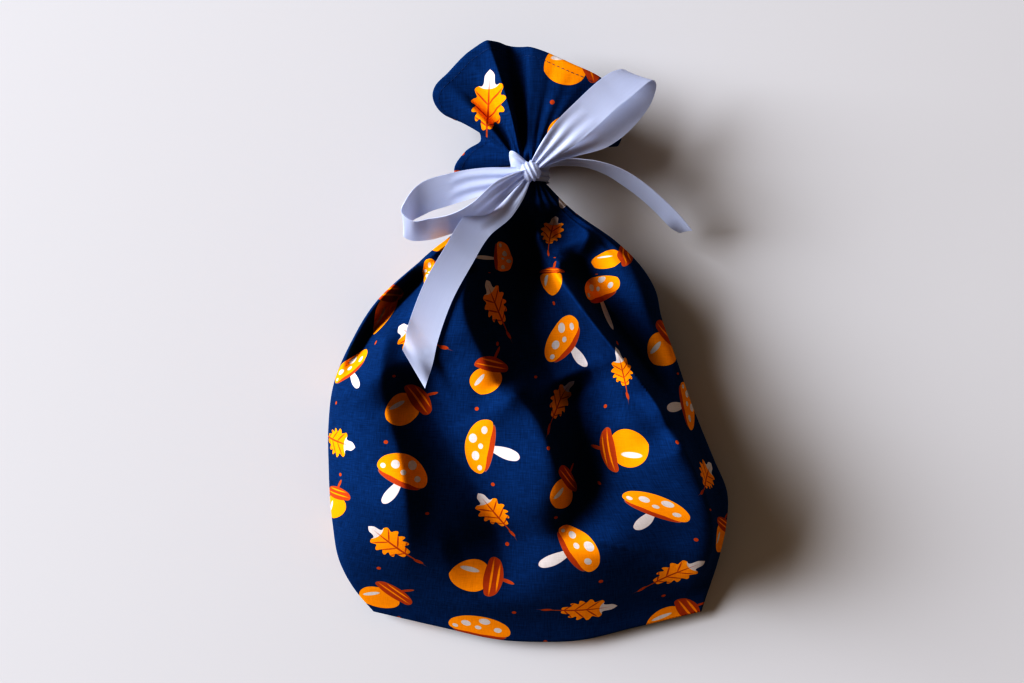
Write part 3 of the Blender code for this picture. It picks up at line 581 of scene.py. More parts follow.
def motif(name, shapes):
    """A node group that paints one motif from its shapes, the first at the bottom."""
    tree, place = open_group(name, "Place")
    split = add(tree, "ShaderNodeSeparateXYZ", None, {0: place})
    aside = add(tree, "ShaderNodeMath", {"operation": "ABSOLUTE"}, {0: split.outputs["X"]})
    folded = add(tree, "ShaderNodeCombineXYZ", None, {"X": aside, "Y": split.outputs["Y"]}).outputs[0]
    colour = mask = None
    for ink, centre, size, tilt, outline, use in shapes:
        found = shape_mask(tree, folded if "both" in use else place, centre, size, tilt, outline)
        if "within" in use:
            found = add(tree, "ShaderNodeMath", {"operation": "MULTIPLY"}, {0: found, 1: mask}).outputs[0]
        if mask is None:
            colour, mask = linear(ink), found
            continue
        colour = add(tree, "ShaderNodeMix", MIX_COLOURS, {0: found, 6: colour, 7: linear(ink)}).outputs[2]
        mask = add(tree, "ShaderNodeMath", {"operation": "MAXIMUM"}, {0: mask, 1: found}).outputs[0]
    add(tree, "NodeGroupOutput", None, {"Colour": colour, "Mask": mask})
    return tree


print("colours of the print:", PRINT_ORANGE, PRINT_CREAM, PRINT_RUST)

# %% The three motifs
# ink, centre and size in mm, tilt in degrees, outline, and how it is used: on both sides of the
# middle, or only within the shapes below it
LEAF_OUTLINE = (1.0, 0.86, 0.62, 0.68, 0.70, 0.50, 0.56, 0.60, 0.42, 0.50, 0.55, 0.40, 0.52, 0.56, 0.44,
                0.56, 0.66, 0.60)
oak_leaf = motif("oak leaf", (
    (PRINT_ORANGE, (0, 1), (14, 16), 0, LEAF_OUTLINE, ""),
    (PRINT_CREAM, (0, 15), (7, 6.5), 0, None, "within"),
    (PRINT_RUST, (0, -4), (0.45, 14.5), 0, None, ""),
    (PRINT_RUST, (3.0, 5.2), (0.36, 4.2), -46, None, "both within"),
    (PRINT_RUST, (3.2, -0.6), (0.36, 4.4), -50, None, "both within"),
    (PRINT_RUST, (2.8, -6.0), (0.36, 3.9), -54, None, "both within"),
    (PRINT_RUST, (0, -16.2), (0.9, 2.6), 8, None, ""),
))
acorn = motif("acorn", (
    (PRINT_ORANGE, (0, -3.5), (11, 11.5), 0, (0.6, 0.7, 0.8, 0.86, 0.88, 0.88, 0.90, 0.94, 1.0), ""),
    (PRINT_CREAM, (-4.0, -5.5), (1.4, 4.8), -10, None, "within"),
    (PRINT_RUST, (0, 4.6), (11.6, 9), 0, (0.72, 0.74, 0.82, 0.94, 0.96, 0.62, 0.42, 0.34, 0.32), ""),
    (PRINT_ORANGE, (0, 8.6), (7.0, 0.55), 0, None, ""),
    (PRINT_ORANGE, (0, 5.4), (9.4, 0.55), 0, None, ""),
    (PRINT_RUST, (1.2, 13.2), (1.0, 3.6), -18, None, ""),
))
toadstool = motif("toadstool", (
    (PRINT_CREAM, (0, -7), (5.2, 9.5), 0, (1.0, 0.8, 0.62, 0.56, 0.56, 0.62, 0.72, 0.86, 0.92), ""),
    (PRINT_RUST, (0, 1.6), (12.4, 2.9), 0, None, ""),
    (PRINT_ORANGE, (0, 3.4), (15.2, 12.5), 0, (0.92, 0.93, 0.95, 0.98, 0.94, 0.34, 0.20, 0.16, 0.15), ""),
    (PRINT_CREAM, (-6.2, 8.0), (2.3, 2.1), 0, None, "within"),
    (PRINT_CREAM, (2.6, 11.2), (2.7, 2.3), 0, None, "within"),
    (PRINT_CREAM, (8.6, 6.0), (1.9, 1.7), 0, None, "within"),
    (PRINT_CREAM, (-0.6, 6.2), (1.6, 1.4), 0, None, "within"),
    (PRINT_CREAM, (-11.4, 4.6), (1.4, 1.3), 0, None, "within"),
))
print("motifs:", oak_leaf.name, acorn.name, toadstool.name)

# %% [markdown]
# ## How the motifs are laid out
#
# A printer's repeat is a half drop: columns of motifs, every second column moved down by half a
# step. Each cell of that lattice gets one motif, nudged and turned by its own random numbers, which
# are fixed by the cell's place and so never change. A tiny dot lies somewhere on the line between
# each cell and the next one down.

# %% Layout of the print
PITCH_ACROSS, PITCH_DOWN = 49.0, 45.0  # mm of cloth
MOTIF_SIZE = 1.12
NUDGE = (9.0, 7.0)  # mm, from one side to the other
TURN = 3.4  # radians, from one side to the other
DOT_RADIUS = 1.25  # mm
DOT_SPREAD = 0.8  # share of the pitch over which the dots lie


def print_group():
    tree, cloth = open_group("tossed autumn print", "Cloth")
    steps = add(tree, "ShaderNodeVectorMath", {"operation": "MULTIPLY"},
                {0: cloth, 1: (1000 / PITCH_ACROSS, 1000 / PITCH_DOWN, 0)})
    split = add(tree, "ShaderNodeSeparateXYZ", None, {0: steps})
    column = add(tree, "ShaderNodeMath", {"operation": "FLOOR"}, {0: split.outputs["X"]})
    odd = add(tree, "ShaderNodeMath", {"operation": "FLOORED_MODULO"}, {0: column, 1: 2.0})
    down = add(tree, "ShaderNodeMath", {"operation": "MULTIPLY_ADD"},
               {0: odd, 1: 0.5, 2: split.outputs["Y"]})
    row = add(tree, "ShaderNodeMath", {"operation": "FLOOR"}, {0: down})
    # the place within its cell, in mm from the middle, nudged and turned by the cell's random numbers
    dropped = add(tree, "ShaderNodeCombineXYZ", None, {"X": split.outputs["X"], "Y": down})
    cell = add(tree, "ShaderNodeVectorMath", {"operation": "FLOOR"}, {0: dropped})
    chance = add(tree, "ShaderNodeTexWhiteNoise", {"noise_dimensions": "2D"},
                 {"Vector": cell}).outputs["Color"]
    within = add(tree, "ShaderNodeVectorMath", {"operation": "FRACTION"}, {0: dropped})
    centred = add(tree, "ShaderNodeVectorMath", {"operation": "SUBTRACT"}, {0: within, 1: (0.5, 0.5, 0)})
    even = add(tree, "ShaderNodeVectorMath", {"operation": "MULTIPLY"},
               {0: centred, 1: (PITCH_ACROSS, PITCH_DOWN, 0)})
    nudge = add(tree, "ShaderNodeVectorMath", {"operation": "MULTIPLY_ADD"},
                {0: chance, 1: (*NUDGE, 0), 2: (-NUDGE[0] / 2, -NUDGE[1] / 2, 0)})
    place = add(tree, "ShaderNodeVectorMath", {"operation": "SUBTRACT"}, {0: even, 1: nudge})
    third = add(tree, "ShaderNodeSeparateXYZ", None, {0: chance}).outputs["Z"]
    tilt = add(tree, "ShaderNodeMath", {"operation": "MULTIPLY_ADD"}, {0: third, 1: TURN, 2: -TURN / 2})
    turned = add(tree, "ShaderNodeVectorRotate", {"rotation_type": "Z_AXIS"},
                 {"Vector": place, "Angle": tilt})
    sized = add(tree, "ShaderNodeVectorMath", {"operation": "SCALE"}, {0: turned, "Scale": 1 / MOTIF_SIZE})
    # the three motifs take turns along the rows and the columns
    order = add(tree, "ShaderNodeMath", {"operation": "MULTIPLY_ADD"}, {0: row, 1: 2.0, 2: column})
    which = add(tree, "ShaderNodeMath", {"operation": "FLOORED_MODULO"}, {0: order, 1: 3.0})
    first, *others = [add(tree, "ShaderNodeGroup", {"node_tree": group}, {0: sized})
                      for group in (oak_leaf, acorn, toadstool)]
    colour, mask = first.outputs["Colour"], first.outputs["Mask"]
    for k, other in enumerate(others):
        chosen = add(tree, "ShaderNodeMath", {"operation": "GREATER_THAN"}, {0: which, 1: k + 0.5})
        colour = add(tree, "ShaderNodeMix", MIX_COLOURS,
                     {0: chosen, 6: colour, 7: other.outputs["Colour"]}).outputs[2]
        mask = add(tree, "ShaderNodeMix", None, {0: chosen, 2: mask, 3: other.outputs["Mask"]}).outputs[0]
    # the dot on the nearest line between two cells
    near = add(tree, "ShaderNodeMath", {"operation": "ROUND"}, {0: down})
    spot = add(tree, "ShaderNodeCombineXYZ", None, {"X": column, "Y": near, "Z": 7.0})
    luck = add(tree, "ShaderNodeTexWhiteNoise", {"noise_dimensions": "3D"},
               {"Vector": spot}).outputs["Value"]
    home = add(tree, "ShaderNodeMath", {"operation": "MULTIPLY_ADD"},
               {0: luck, 1: DOT_SPREAD, 2: (1 - DOT_SPREAD) / 2})
    across = add(tree, "ShaderNodeSeparateXYZ", None, {0: within}).outputs["X"]
    aside = add(tree, "ShaderNodeMath", {"operation": "SUBTRACT"}, {0: across, 1: home})
    below = add(tree, "ShaderNodeMath", {"operation": "SUBTRACT"}, {0: down, 1: near})
    from_dot = add(tree, "ShaderNodeCombineXYZ", None, {"X": aside, "Y": below})
    from_dot = add(tree, "ShaderNodeVectorMath", {"operation": "MULTIPLY"},
                   {0: from_dot, 1: (PITCH_ACROSS, PITCH_DOWN, 0)})
    dot = shape_mask(tree, from_dot, (0, 0), (DOT_RADIUS, DOT_RADIUS), 0, None)
    colour = add(tree, "ShaderNodeMix", MIX_COLOURS, {0: mask, 6: linear(PRINT_RUST), 7: colour}).outputs[2]
    mask = add(tree, "ShaderNodeMath", {"operation": "MAXIMUM"}, {0: mask, 1: dot}).outputs[0]
    add(tree, "NodeGroupOutput", None, {"Colour": colour, "Mask": mask})
    return tree


autumn_print = print_group()
print("print nodes:", len(autumn_print.nodes))

# %% [markdown]
# ## Printed cotton
#
# Plain-woven quilting cotton, about 27 threads to the centimetre, dyed navy and printed. Up close its
# threads vary a little in thickness and shade, which gives a lit fold a faint grain. It is matte, and
# its dye is so deep that a fold turned from the light goes nearly black. The real threads are 0.37 mm
# apart, finer than one pixel here, so the weave is drawn at 0.55 mm to show at all.

# %% Cotton material
NAVY = "#163A62"
THREAD = 0.55  # mm
ALONG_THREAD, ACROSS_THREAD = 130.0, 1800.0  # steps of the thick and thin places to a metre of cloth
MOTTLE = 60.0  # patches of uneven dye to a metre of cloth
WRONG_SIDE = 0.65  # share of the print that doesn't come through to the back


def cotton(name, held_back=0.0):
    material, tree, shader = new_material(name)
    cloth = add(tree, "ShaderNodeUVMap", {"uv_map": "cloth"}).outputs[0]
    printed = add(tree, "ShaderNodeGroup", {"node_tree": autumn_print}, {0: cloth})
    grains = []
    for scale in ((ALONG_THREAD, ACROSS_THREAD, 1), (ACROSS_THREAD, ALONG_THREAD, 1)):
        drawn_out = add(tree, "ShaderNodeMapping", None, {"Vector": cloth, "Scale": scale})
        grains.append(add(tree, "ShaderNodeTexNoise", None,
                          {"Vector": drawn_out, "Scale": 1.0, "Detail": 2.0}))
    grain = add(tree, "ShaderNodeMath", {"operation": "ADD"}, {0: grains[0], 1: grains[1]})
    mottle = add(tree, "ShaderNodeTexNoise", None, {"Vector": cloth, "Scale": MOTTLE, "Detail": 3.0})
    uneven = add(tree, "ShaderNodeMath", {"operation": "MULTIPLY_ADD"}, {0: mottle, 1: 0.3, 2: -0.1})
    shade = add(tree, "ShaderNodeMath", {"operation": "MULTIPLY_ADD"}, {0: grain, 1: 0.9, 2: uneven})
    ground = add(tree, "ShaderNodeMix", TINT, {0: 1.0, 6: linear(NAVY), 7: shade}).outputs[2]
    # the ink lies on top, so it shows a quarter of the unevenness
    ink_shade = add(tree, "ShaderNodeMath", {"operation": "MULTIPLY_ADD"}, {0: shade, 1: 0.25, 2: 0.75})
    ink = add(tree, "ShaderNodeMix", TINT, {0: 1.0, 6: printed.outputs["Colour"], 7: ink_shade}).outputs[2]
    strength = add(tree, "ShaderNodeMath", {"operation": "MULTIPLY"},
                   {0: printed.outputs["Mask"], 1: 1.0 - held_back})
    colour = add(tree, "ShaderNodeMix", MIX_COLOURS, {0: strength, 6: ground, 7: ink}).outputs[2]
    tree.links.new(colour, shader.inputs["Base Color"])
    # over and under: a wave across each set of threads
    phase = add(tree, "ShaderNodeVectorMath", {"operation": "SCALE"},
                {0: cloth, "Scale": 2 * math.pi * 1000 / THREAD})
    waves = add(tree, "ShaderNodeVectorMath", {"operation": "SINE"}, {0: phase})
    threads = add(tree, "ShaderNodeSeparateXYZ", None, {0: waves}).outputs
    weave = add(tree, "ShaderNodeMath", {"operation": "MULTIPLY"}, {0: threads["X"], 1: threads["Y"]})
    height = add(tree, "ShaderNodeMath", {"operation": "MULTIPLY_ADD"}, {0: grain, 1: 1.5, 2: weave})
    bump = add(tree, "ShaderNodeBump", None, {"Strength": 0.35, "Distance": 0.00012, "Height": height})
    tree.links.new(bump.outputs[0], shader.inputs["Normal"])
    for socket, value in (("Roughness", 0.82), ("Specular IOR Level", 0.03), ("Sheen Weight", 0.01),
                          ("Sheen Roughness", 0.4), ("Sheen Tint", linear("#8FA6D8"))):
        shader.inputs[socket].default_value = value
    return material


pouch.data.materials.append(cotton("printed_quilting_cotton"))
pouch.data.materials.append(cotton("cotton_wrong_side", WRONG_SIDE))
print("cotton materials:", [material.name for material in pouch.data.materials])

# %% [markdown]
# ## The hem's stitches
#
# The mouth is turned in twice and held by one row of machine stitches, 2.6 mm long, in thread of the
# cloth's own navy. A row of stitches is a repeat along a path, which is what Geometry Nodes are for: a
# closed line 4.2 mm inside the edge is the path, points are set along it at the stitch's pitch, and
# each gets a short plump thread that sinks into the cloth at both ends.

# %% Path of the stitches
STITCH_PITCH, STITCH_LENGTH, STITCH_THICKNESS = 0.0026, 0.0021, 0.00032
STITCH_FROM_EDGE = 0.0042
STITCH_PROUD = 0.00003  # how far the thread's middle stands off the cloth
rows_down = np.arange(COLLAR_ROWS, -1, -1)
stitch_line = []
for k in range(AROUND):
    row = float(np.interp(STITCH_FROM_EDGE, from_hem[::-1, k], rows_down))
    low = min(int(row), COLLAR_ROWS - 1)
    part = row - low
    place = outside[low, k] * (1 - part) + outside[low + 1, k] * part
    facing = inward[low, k] * (1 - part) + inward[low + 1, k] * part
    stitch_line.append(place - facing * STITCH_PROUD + SHIFT)
path_mesh = bpy.data.meshes.new("hem_path")
path_mesh.from_pydata([tuple(p) for p in stitch_line], [(k, (k + 1) % AROUND) for k in range(AROUND)], [])
stitch_path = in_scene("hem_path", path_mesh)
print(f"path of {sum(np.linalg.norm(np.diff(stitch_line, axis=0), axis=1)) * 1000:.0f} mm round the mouth")

# %% Stitches along the path
thread, thread_tree, thread_shader = new_material("spun_polyester_thread")
# spun polyester: fine fibres twisted together. Its short slanted bands of lighter and darker navy are
# painted shade along the twisted fibres
object_place = add(thread_tree, "ShaderNodeTexCoord").outputs["Object"]
painted_twist_shade = add(thread_tree, "ShaderNodeTexWave", {"bands_direction": "DIAGONAL"},
            {"Vector": object_place, "Scale": 900.0, "Distortion": 1.0}).outputs["Fac"]
# the darker navy is the painted shade in the twist's grooves and the lighter one is its painted lit side
thread_colour = add(thread_tree, "ShaderNodeMix", MIX_COLOURS,
                    {0: painted_twist_shade, 6: linear("#0E2A52"), 7: linear("#1B3F74")}).outputs[2]
thread_tree.links.new(thread_colour, thread_shader.inputs["Base Color"])
thread_shader.inputs["Roughness"].default_value = 0.6

stitching = bpy.data.node_groups.new("row of stitches", "GeometryNodeTree")
stitching.interface.new_socket("Path", in_out="INPUT", socket_type="NodeSocketGeometry")
for name in ("Pitch", "Length", "Thickness"):
    stitching.interface.new_socket(name, in_out="INPUT", socket_type="NodeSocketFloat")
stitching.interface.new_socket("Stitches", in_out="OUTPUT", socket_type="NodeSocketGeometry")
given = stitching.nodes.new("NodeGroupInput").outputs
line = add(stitching, "GeometryNodeMeshToCurve", None, {0: given["Path"]})
spots = add(stitching, "GeometryNodeCurveToPoints", {"mode": "LENGTH"},
            {"Curve": line, "Length": given["Pitch"]})
ball = add(stitching, "GeometryNodeMeshUVSphere", None, {"Segments": 8, "Rings": 6, "Radius": 0.5})
size = add(stitching, "ShaderNodeCombineXYZ", None,
           {"X": given["Thickness"], "Y": given["Thickness"], "Z": given["Length"]})
stitch = add(stitching, "GeometryNodeTransform", None, {"Geometry": ball, "Scale": size})
placed = add(stitching, "GeometryNodeInstanceOnPoints", None,
             {"Points": spots.outputs["Points"], "Instance": stitch, "Rotation": spots.outputs["Rotation"]})
real = add(stitching, "GeometryNodeRealizeInstances", None, {0: placed})
soft = add(stitching, "GeometryNodeSetShadeSmooth", None, {0: real})
dressed = add(stitching, "GeometryNodeSetMaterial", None, {0: soft, "Material": thread})
add(stitching, "NodeGroupOutput", None, {0: dressed})

modifier = stitch_path.modifiers.new("stitches", "NODES")
modifier.node_group = stitching
sizes_wanted = {"Pitch": STITCH_PITCH, "Length": STITCH_LENGTH, "Thickness": STITCH_THICKNESS}
for socket in stitching.interface.items_tree:
    if socket.name in sizes_wanted and socket.in_out == "INPUT":
        modifier[socket.identifier] = sizes_wanted[socket.name]
evaluated = stitch_path.evaluated_get(bpy.context.evaluated_depsgraph_get())
stitches = in_scene("hem_stitches", bpy.data.meshes.new_from_object(evaluated))
stitches.data.name = "hem_stitches"
bpy.data.objects.remove(stitch_path)
print("stitches:", len(stitches.data.polygons), "faces")

# %% [markdown]
# ## The ribbon's course
#
# One 16 mm satin ribbon goes round the neck and is tied in a bow. Each run is measured out from the
# knot: where its middle goes, which way its width lies, and how much of its width shows, because it
# is crumpled into the knot and opens out as it leaves it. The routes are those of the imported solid,
# but for two places on the lower strand of the left loop, which lie 1 and 3 mm from the solid's.

# %% Runs of the ribbon
RIBBON_WIDTH = 0.016
SATIN = 0.00035
KNOT = np.array([NECK_OFFSET, TIE_MIDDLE, NECK_HEIGHT + NECK_RADIUS + 0.0049])  # on top of the neck
LEFT_LOOP = (
    ((-0.036, 0.0, -0.041), (0.2, 1.0, 0.1), 0.35), ((-0.161, -0.039, -0.056), (0.1, 1.0, 0.15), 0.62),
    ((-0.333, -0.062, -0.069), (-0.1, 1.0, 0.1), 0.8), ((-0.63, -0.133, -0.072), (0.0, 1.0, 0.22), 1.0),
    ((-0.837, -0.206, -0.053), (-0.17, 0.9, 0.42), 1.0), ((-0.955, -0.308, -0.044), (-0.1, 0.6, 0.75), 1.0),
    ((-0.998, -0.406, -0.044), (0.0, 0.66, 0.75), 1.0), ((-0.942, -0.453, -0.041), (0.08, 0.55, 0.83), 1.0),
    ((-0.792, -0.45, -0.016), (0.08, 0.6, 0.8), 1.0), ((-0.627, -0.415, 0.03), (-0.05, 0.5, 0.86), 1.0),
    ((-0.433, -0.335, 0.1), (-0.25, 0.48, 0.85), 1.0), ((-0.242, -0.164, 0.053), (-0.15, 0.72, 0.65), 0.85),
    ((-0.098, -0.062, 0.037), (0.0, 0.85, 0.5), 0.5), ((-0.02, -0.016, 0.031), (0.0, 0.8, 0.5), 0.3),
)
RIGHT_LOOP = (
    ((0.009, 0.013, 0.024), (-0.6, 0.8, 0.0), 0.3), ((0.103, 0.12, 0.047), (-0.75, 0.66, 0.1), 0.6),
    ((0.223, 0.233, 0.08), (-0.75, 0.66, 0.1), 0.92), ((0.376, 0.373, 0.12), (-0.72, 0.69, 0.1), 1.0),
    ((0.529, 0.507, 0.147), (-0.66, 0.75, 0.1), 1.0), ((0.699, 0.613, 0.133), (-0.94, 0.32, 0.05), 1.0),
    ((0.729, 0.6, 0.067), (-0.9, 0.42, 0.0), 1.0), ((0.716, 0.527, 0.007), (-0.85, 0.5, 0.0), 1.0),
    ((0.603, 0.368, -0.027), (-0.75, 0.66, 0.0), 1.0), ((0.443, 0.247, -0.043), (-0.66, 0.75, 0.0), 1.0),
    ((0.249, 0.173, -0.04), (-0.5, 0.8, 0.0), 0.8), ((0.109, 0.1, -0.021), (-0.45, 0.85, 0.0), 0.55),
    ((0.023, 0.027, -0.016), (-0.4, 0.85, 0.0), 0.3),
)
FRONT_TAIL = (
    ((-0.011, -0.008, -0.017), (0.8, -0.5, 0.0), 0.3), ((-0.062, -0.076, -0.02), (0.75, -0.65, 0.0), 0.7),
    ((-0.117, -0.14, -0.022), (0.72, -0.69, 0.0), 0.9), ((-0.223, -0.233, -0.013), (0.75, -0.66, 0.0), 1.0),
    ((-0.297, -0.36, 0.042), (0.78, -0.62, 0.0), 1.0), ((-0.385, -0.528, 0.097), (0.89, -0.45, 0.0), 1.0),
    ((-0.439, -0.678, 0.131), (0.93, -0.36, 0.0), 1.0), ((-0.467, -0.781, 0.153), (0.96, -0.27, 0.0), 1.0),
    ((-0.482, -0.832, 0.161), (0.96, -0.27, 0.0), 1.0),
)
FRONT_CUT = 0.0076  # how far the slanted cut slopes from the middle of the tail to each edge
RIGHT_TAIL = (
    ((0.018, 0.016, -0.01), (0.0, 0.5, 0.85), 0.3), ((0.07, 0.036, -0.042), (0.0, 0.35, 0.93), 0.45),
    ((0.143, 0.06, -0.078), (0.0, 0.26, 0.96), 0.65), ((0.226, 0.058, -0.083), (0.0, 0.2, 0.97), 0.85),
    ((0.32, 0.046, -0.089), (0.0, 0.15, 0.98), 1.0), ((0.414, 0.018, -0.104), (0.05, 0.22, 0.97), 1.0),
    ((0.502, -0.025, -0.13), (0.1, 0.3, 0.94), 1.0), ((0.591, -0.081, -0.167), (0.12, 0.33, 0.93), 1.0),
    ((0.684, -0.153, -0.214), (0.14, 0.34, 0.93), 1.0), ((0.775, -0.234, -0.266), (0.16, 0.34, 0.92), 1.0),
    ((0.844, -0.289, -0.32), (0.28, 0.0, 0.96), 1.0),
)
STRIP_STEPS, STRIP_ACROSS = 150, 18
CREASES = 2.5  # half waves across the crumpled width
BOWED = 0.0004  # how far the middle of the width stands off the line of its edges
RESTS_AT = (-0.5, -0.25, 0, 0.25, 0.5)  # places across the width that stay above what it lies on


def strip(route, reach, rest_on=None, lift=0.0, cut=0.0):
    """Rings of points round a flat ribbon along a route, crumpled lengthwise where it is narrowed.

    A cut slopes its far end: the rows there lean over so that one edge ends before the middle and the
    other after it.
    """
    places = np.array([KNOT + reach * np.array(middle) for middle, _, _ in route])
    across = unit(np.array([direction for _, direction, _ in route], float))
    shares = np.array([width for _, _, width in route])
    if rest_on is not None:
        for k in range(len(places)):
            spots = [places[k] + across[k] * RIBBON_WIDTH * shares[k] * side for side in RESTS_AT]
            places[k, 2] = max(places[k, 2], max(float(rest_on(p[0], p[1])) for p in spots) + lift)
    run = np.concatenate([[0], np.cumsum(np.linalg.norm(np.diff(places, axis=0), axis=1))])
    steps = np.linspace(0, run[-1], STRIP_STEPS + 1)
    middle = curve_through(list(zip(run, places)), steps)
    across = unit(curve_through(list(zip(run, across)), steps))
    share = curve_through(list(zip(run, shares)), steps)[:, None]
    normal = unit(np.cross(np.gradient(middle, axis=0), across))
    c = np.linspace(-1, 1, STRIP_ACROSS + 1)[None, :]
    width = RIBBON_WIDTH * share
    spare = np.sqrt(np.clip(1 / np.clip(share, 0.2, 1) - 1, 0, 3))
    wave = np.sin(math.pi * CREASES * c + 0.8 + 0.6 * np.sin(steps[:, None] * 160))
    offset = width / (math.pi * CREASES) * spare * wave * 0.8 - BOWED * (1 - c ** 2)
    centre = (middle[:, None] + across[:, None] * (c * width / 2)[..., None]
              + normal[:, None] * offset[..., None])
    if cut:
        lean = smooth_step(run[-1] - 5 * cut, run[-1], steps)[:, None] * c * cut
        centre = centre + unit(np.gradient(middle, axis=0))[:, None] * lean[..., None]
        if rest_on is not None:
            surface = rest_on(centre[..., 0], centre[..., 1])
            centre[..., 2] = np.maximum(centre[..., 2], surface + lift * 0.6)
    half = normal[:, None] * SATIN / 2
    rings = np.concatenate([centre + half, (centre - half)[:, ::-1]], axis=1)
    u = np.concatenate([c[0], c[0, ::-1]]) * RIBBON_WIDTH / 2
    return rings, u, steps


def closed_strip(rings, u, along, first):
    """Points, faces and cloth coordinates of one strip, its points numbered from first.

    Its ends are filled, unless it comes back to its start: then it has one more place along than rings.
    """
    rows, count = rings.shape[:2]
    i = np.arange(count)
    j = (i + 1) % count
    faces, uvs = [], []
    for row in range(len(along) - 1):
        a, b = first + row * count, first + (row + 1) % rows * count
        faces.append(np.stack([a + i, b + i, b + j, a + j], -1))
        uvs.append(np.stack([np.stack([u[k], np.full(count, along[r])], -1)
                             for r, k in ((row, i), (row + 1, i), (row + 1, j), (row, j))], 1))
    faces = [tuple(face) for face in np.concatenate(faces)]
    uvs = [tuple(corner) for quad in np.concatenate(uvs) for corner in quad]
    if len(along) == rows:
        last = first + (rows - 1) * count
        faces += [tuple(range(first, first + count)), tuple(range(last + count - 1, last - 1, -1))]
        uvs += [(0.0, 0.0)] * (2 * count)
    return rings.reshape(-1, 3), faces, uvs


print("runs:", len(LEFT_LOOP), len(RIGHT_LOOP), len(FRONT_TAIL), len(RIGHT_TAIL), "places each")

# %% [markdown]
# ## Band and knot
#
# The band is the same ribbon drawn tight round the gathered neck, with its width crumpled into it; it
# flares where it slants up behind the knot. The knot is ribbon wrapped once over the crossing: a small
# plump roll with creases along the way it was pulled.

# %% Band and knot
BAND_STEPS = 120
BAND_GAP = 0.0006  # between the band and each end of the neck
BAND_RADIUS = NECK_RADIUS + 0.0015
FLARE_AT, FLARE_SPREAD, FLARE = 130, 22, 0.006  # degrees round the neck, degrees, metres
KNOT_SLANT = 24  # degrees from +X
KNOT_HALF = (0.0049, 0.0051, 0.0046)  # along its axis, across it and up
KNOT_ROWS, KNOT_AROUND = 40, 64


def band():
    """One closed turn of crumpled ribbon round the neck."""
    turns = np.linspace(0, 2 * math.pi, BAND_STEPS + 1)
    turn = turns[:-1, None]
    flare = FLARE * np.exp(-((np.degrees(turn) - FLARE_AT) / FLARE_SPREAD) ** 2)
    c = np.linspace(-1, 1, STRIP_ACROSS + 1)[None, :]
    low, high = BODY_LENGTH + BAND_GAP, COLLAR_START - BAND_GAP
    y = (low + high) / 2 + c * (high - low) / 2 + (c + 1) / 2 * flare
    ripple = 0.00045 * np.sin(math.pi * 3.5 * c + 1.2 * np.sin(turn * 2)) * (1 - 0.6 * flare / FLARE)
    radius = NECK_RADIUS + 0.0011 + (c + 1) / 2 * flare + ripple + BOWED * (1 - c ** 2)
    outer, inner = [np.stack([NECK_OFFSET + r * np.cos(turn), y, NECK_HEIGHT + r * np.sin(turn)], -1)
                    for r in (radius + SATIN / 2, radius - SATIN / 2)]
    u = np.concatenate([c[0], c[0, ::-1]]) * RIBBON_WIDTH / 2
    return np.concatenate([outer, inner[:, ::-1]], axis=1), u, turns * BAND_RADIUS


def knot():
    """A plump roll over the crossing, creased round its axis, closed at both ends."""
    slant = math.radians(KNOT_SLANT)
    axis = np.array([math.cos(slant), math.sin(slant), 0.0])
    side = np.array([-axis[1], axis[0], 0.0])
    up = np.array([0.0, 0.0, 1.0])
    b = np.sin(np.linspace(-math.pi / 2, math.pi / 2, KNOT_ROWS + 1))[:, None]
    turn = np.linspace(0, 2 * math.pi, KNOT_AROUND, endpoint=False)[None, :]
    swell = np.clip(1 - np.abs(b) ** 2.6, 0, 1) ** 0.42
    crease = 1 + 0.10 * np.cos(math.pi * 4.2 * b + 0.7 * np.sin(turn) + 0.4) * (1 - b ** 2)
    reach = swell * crease
    points = (KNOT + axis * (b * KNOT_HALF[0])[..., None]
              + side * (reach * np.cos(turn) * KNOT_HALF[1])[..., None]
              + up * (reach * np.sin(turn) * KNOT_HALF[2])[..., None])
    return points, np.linspace(-0.008, 0.008, KNOT_AROUND), np.linspace(0, 0.012, KNOT_ROWS + 1)


print("band:", band()[0].shape, "knot:", knot()[0].shape)

# %% Ribbon mesh
# each route, and the length that its places are shares of
strips = (strip(LEFT_LOOP, 0.064), strip(RIGHT_LOOP, 0.075),
          strip(FRONT_TAIL, 0.118, front_height, 0.0025, FRONT_CUT), strip(RIGHT_TAIL, 0.096))
points, faces, uvs = [], [], []
for run in (*strips, knot(), band()):
    run_points, run_faces, run_uvs = closed_strip(*run, sum(len(some) for some in points))
    points.append(run_points)
    faces += run_faces
    uvs += run_uvs
mesh = bpy.data.meshes.new("satin_ribbon")
mesh.from_pydata((np.concatenate(points) + SHIFT).tolist(), [], faces)
mesh.uv_layers.new(name="cloth").data.foreach_set("uv", np.array(uvs).ravel())
ribbon = welded(mesh, 1e-7)
mesh.set_sharp_from_angle(angle=math.radians(60))

# %% [markdown]
# ## Satin
#
# Polyester satin ribbon: its warp threads float over the weft, so the face is smooth along its length
# and takes long soft highlights. White, it shows a cool lavender in the shade. Fine lines run along it
# and each edge has a firm woven selvedge.

# %% Satin material
SATIN_WHITE = "#D9E0F2"
SELVEDGE = (0.0071, 0.0074)  # distances from the middle between which the edge thickens
LINES = (2400, 40, 1)  # fine lines to a metre across the ribbon, and their breaks to a metre along it
LET_THROUGH = 0.45  # share of the light that comes through from the far side of so thin a cloth
material, tree, shader = new_material("polyester_satin")
cloth = add(tree, "ShaderNodeUVMap", {"uv_map": "cloth"}).outputs[0]
drawn_out = add(tree, "ShaderNodeMapping", None, {"Vector": cloth, "Scale": LINES})
lines = add(tree, "ShaderNodeTexNoise", None, {"Vector": drawn_out, "Scale": 1.0, "Detail": 3.0})
across = add(tree, "ShaderNodeSeparateXYZ", None, {0: cloth}).outputs["X"]
from_middle = add(tree, "ShaderNodeMath", {"operation": "ABSOLUTE"}, {0: across})
edge = add(tree, "ShaderNodeMapRange", None,
           {"Value": from_middle, "From Min": SELVEDGE[0], "From Max": SELVEDGE[1]})
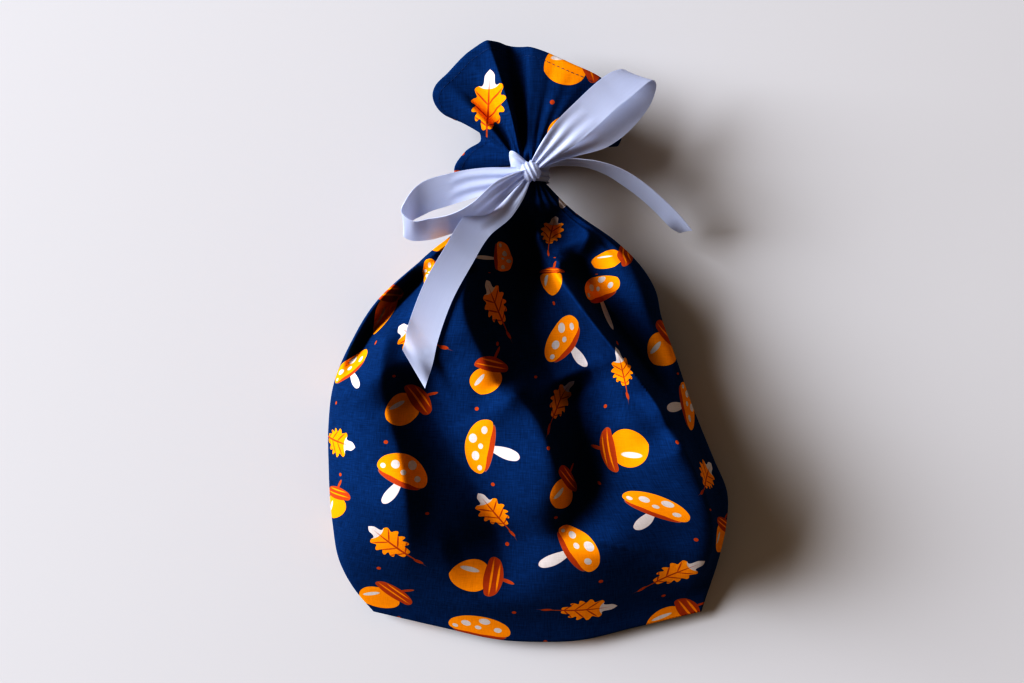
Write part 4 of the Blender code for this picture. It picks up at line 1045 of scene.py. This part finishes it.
shade = add(tree, "ShaderNodeMath", {"operation": "MULTIPLY_ADD"}, {0: lines, 1: 0.10, 2: 0.95})
white = add(tree, "ShaderNodeMix", TINT, {0: 1.0, 6: linear(SATIN_WHITE), 7: shade}).outputs[2]
tree.links.new(white, shader.inputs["Base Color"])
thick_edge = add(tree, "ShaderNodeMath", {"operation": "MULTIPLY"}, {0: edge, 1: 0.8})
height = add(tree, "ShaderNodeMath", {"operation": "MULTIPLY_ADD"}, {0: lines, 1: 0.5, 2: thick_edge})
bump = add(tree, "ShaderNodeBump", None, {"Strength": 0.25, "Distance": 0.0001, "Height": height})
tree.links.new(bump.outputs[0], shader.inputs["Normal"])
for socket, value in (("Roughness", 0.36), ("Specular IOR Level", 0.5), ("Anisotropic", 0.5),
                      ("Sheen Weight", 0.1)):
    shader.inputs[socket].default_value = value
glow = add(tree, "ShaderNodeBsdfTranslucent", None, {"Color": linear("#E2E7F4")})
thin = add(tree, "ShaderNodeMixShader", None, {0: LET_THROUGH, 1: shader, 2: glow})
tree.links.new(thin.outputs[0], tree.nodes["Material Output"].inputs["Surface"])
ribbon.data.materials.append(material)
print("satin:", material.name)

# %% [markdown]
# ## Floor and light
#
# A plain pale floor, and one big soft light from the upper left, as from a window. It stands 30
# degrees up, low enough for the folds to show and for the pouch to throw a soft shadow to the right,
# and far enough off to light the floor evenly. A little warm light from all round keeps the shadows
# open.

# %% Floor and lights
WINDOW_PLACE, WINDOW_AIM = Vector((-4.7, 1.6, 2.95)), Vector((0, 0, 0.03))
bpy.ops.mesh.primitive_plane_add(size=8, location=(0, 0, -0.0004))
floor = bpy.context.object
floor.name = "floor"
material, tree, shader = new_material("pale_matte_floor")
shader.inputs["Base Color"].default_value = linear("#CACACB")
shader.inputs["Roughness"].default_value = 0.9
floor.data.materials.append(material)

window = in_scene("window", bpy.data.lights.new("window", "AREA"))
window.data.shape = "SQUARE"
window.data.size = 3.6
window.data.energy = 520.0
window.data.color = linear("#F2F6FF")[:3]
window.location = WINDOW_PLACE
window.rotation_euler = (WINDOW_AIM - WINDOW_PLACE).to_track_quat("-Z", "Y").to_euler()

world = bpy.data.worlds.new("room")
world.use_nodes = True
background = world.node_tree.nodes["Background"]
background.inputs["Color"].default_value = linear("#FFE2C4")
background.inputs["Strength"].default_value = 0.16
bpy.context.scene.world = world
view = bpy.context.scene.view_settings
view.view_transform = "Standard"
view.look = "Very High Contrast"
print("lit from the left, look:", view.look)

for piece, node, slot in ((pouch, "pouch", "printed_cotton"), (ribbon, "ribbon", "white_satin")):
    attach(piece, "root")
    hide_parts(node)
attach(stitches, "root")
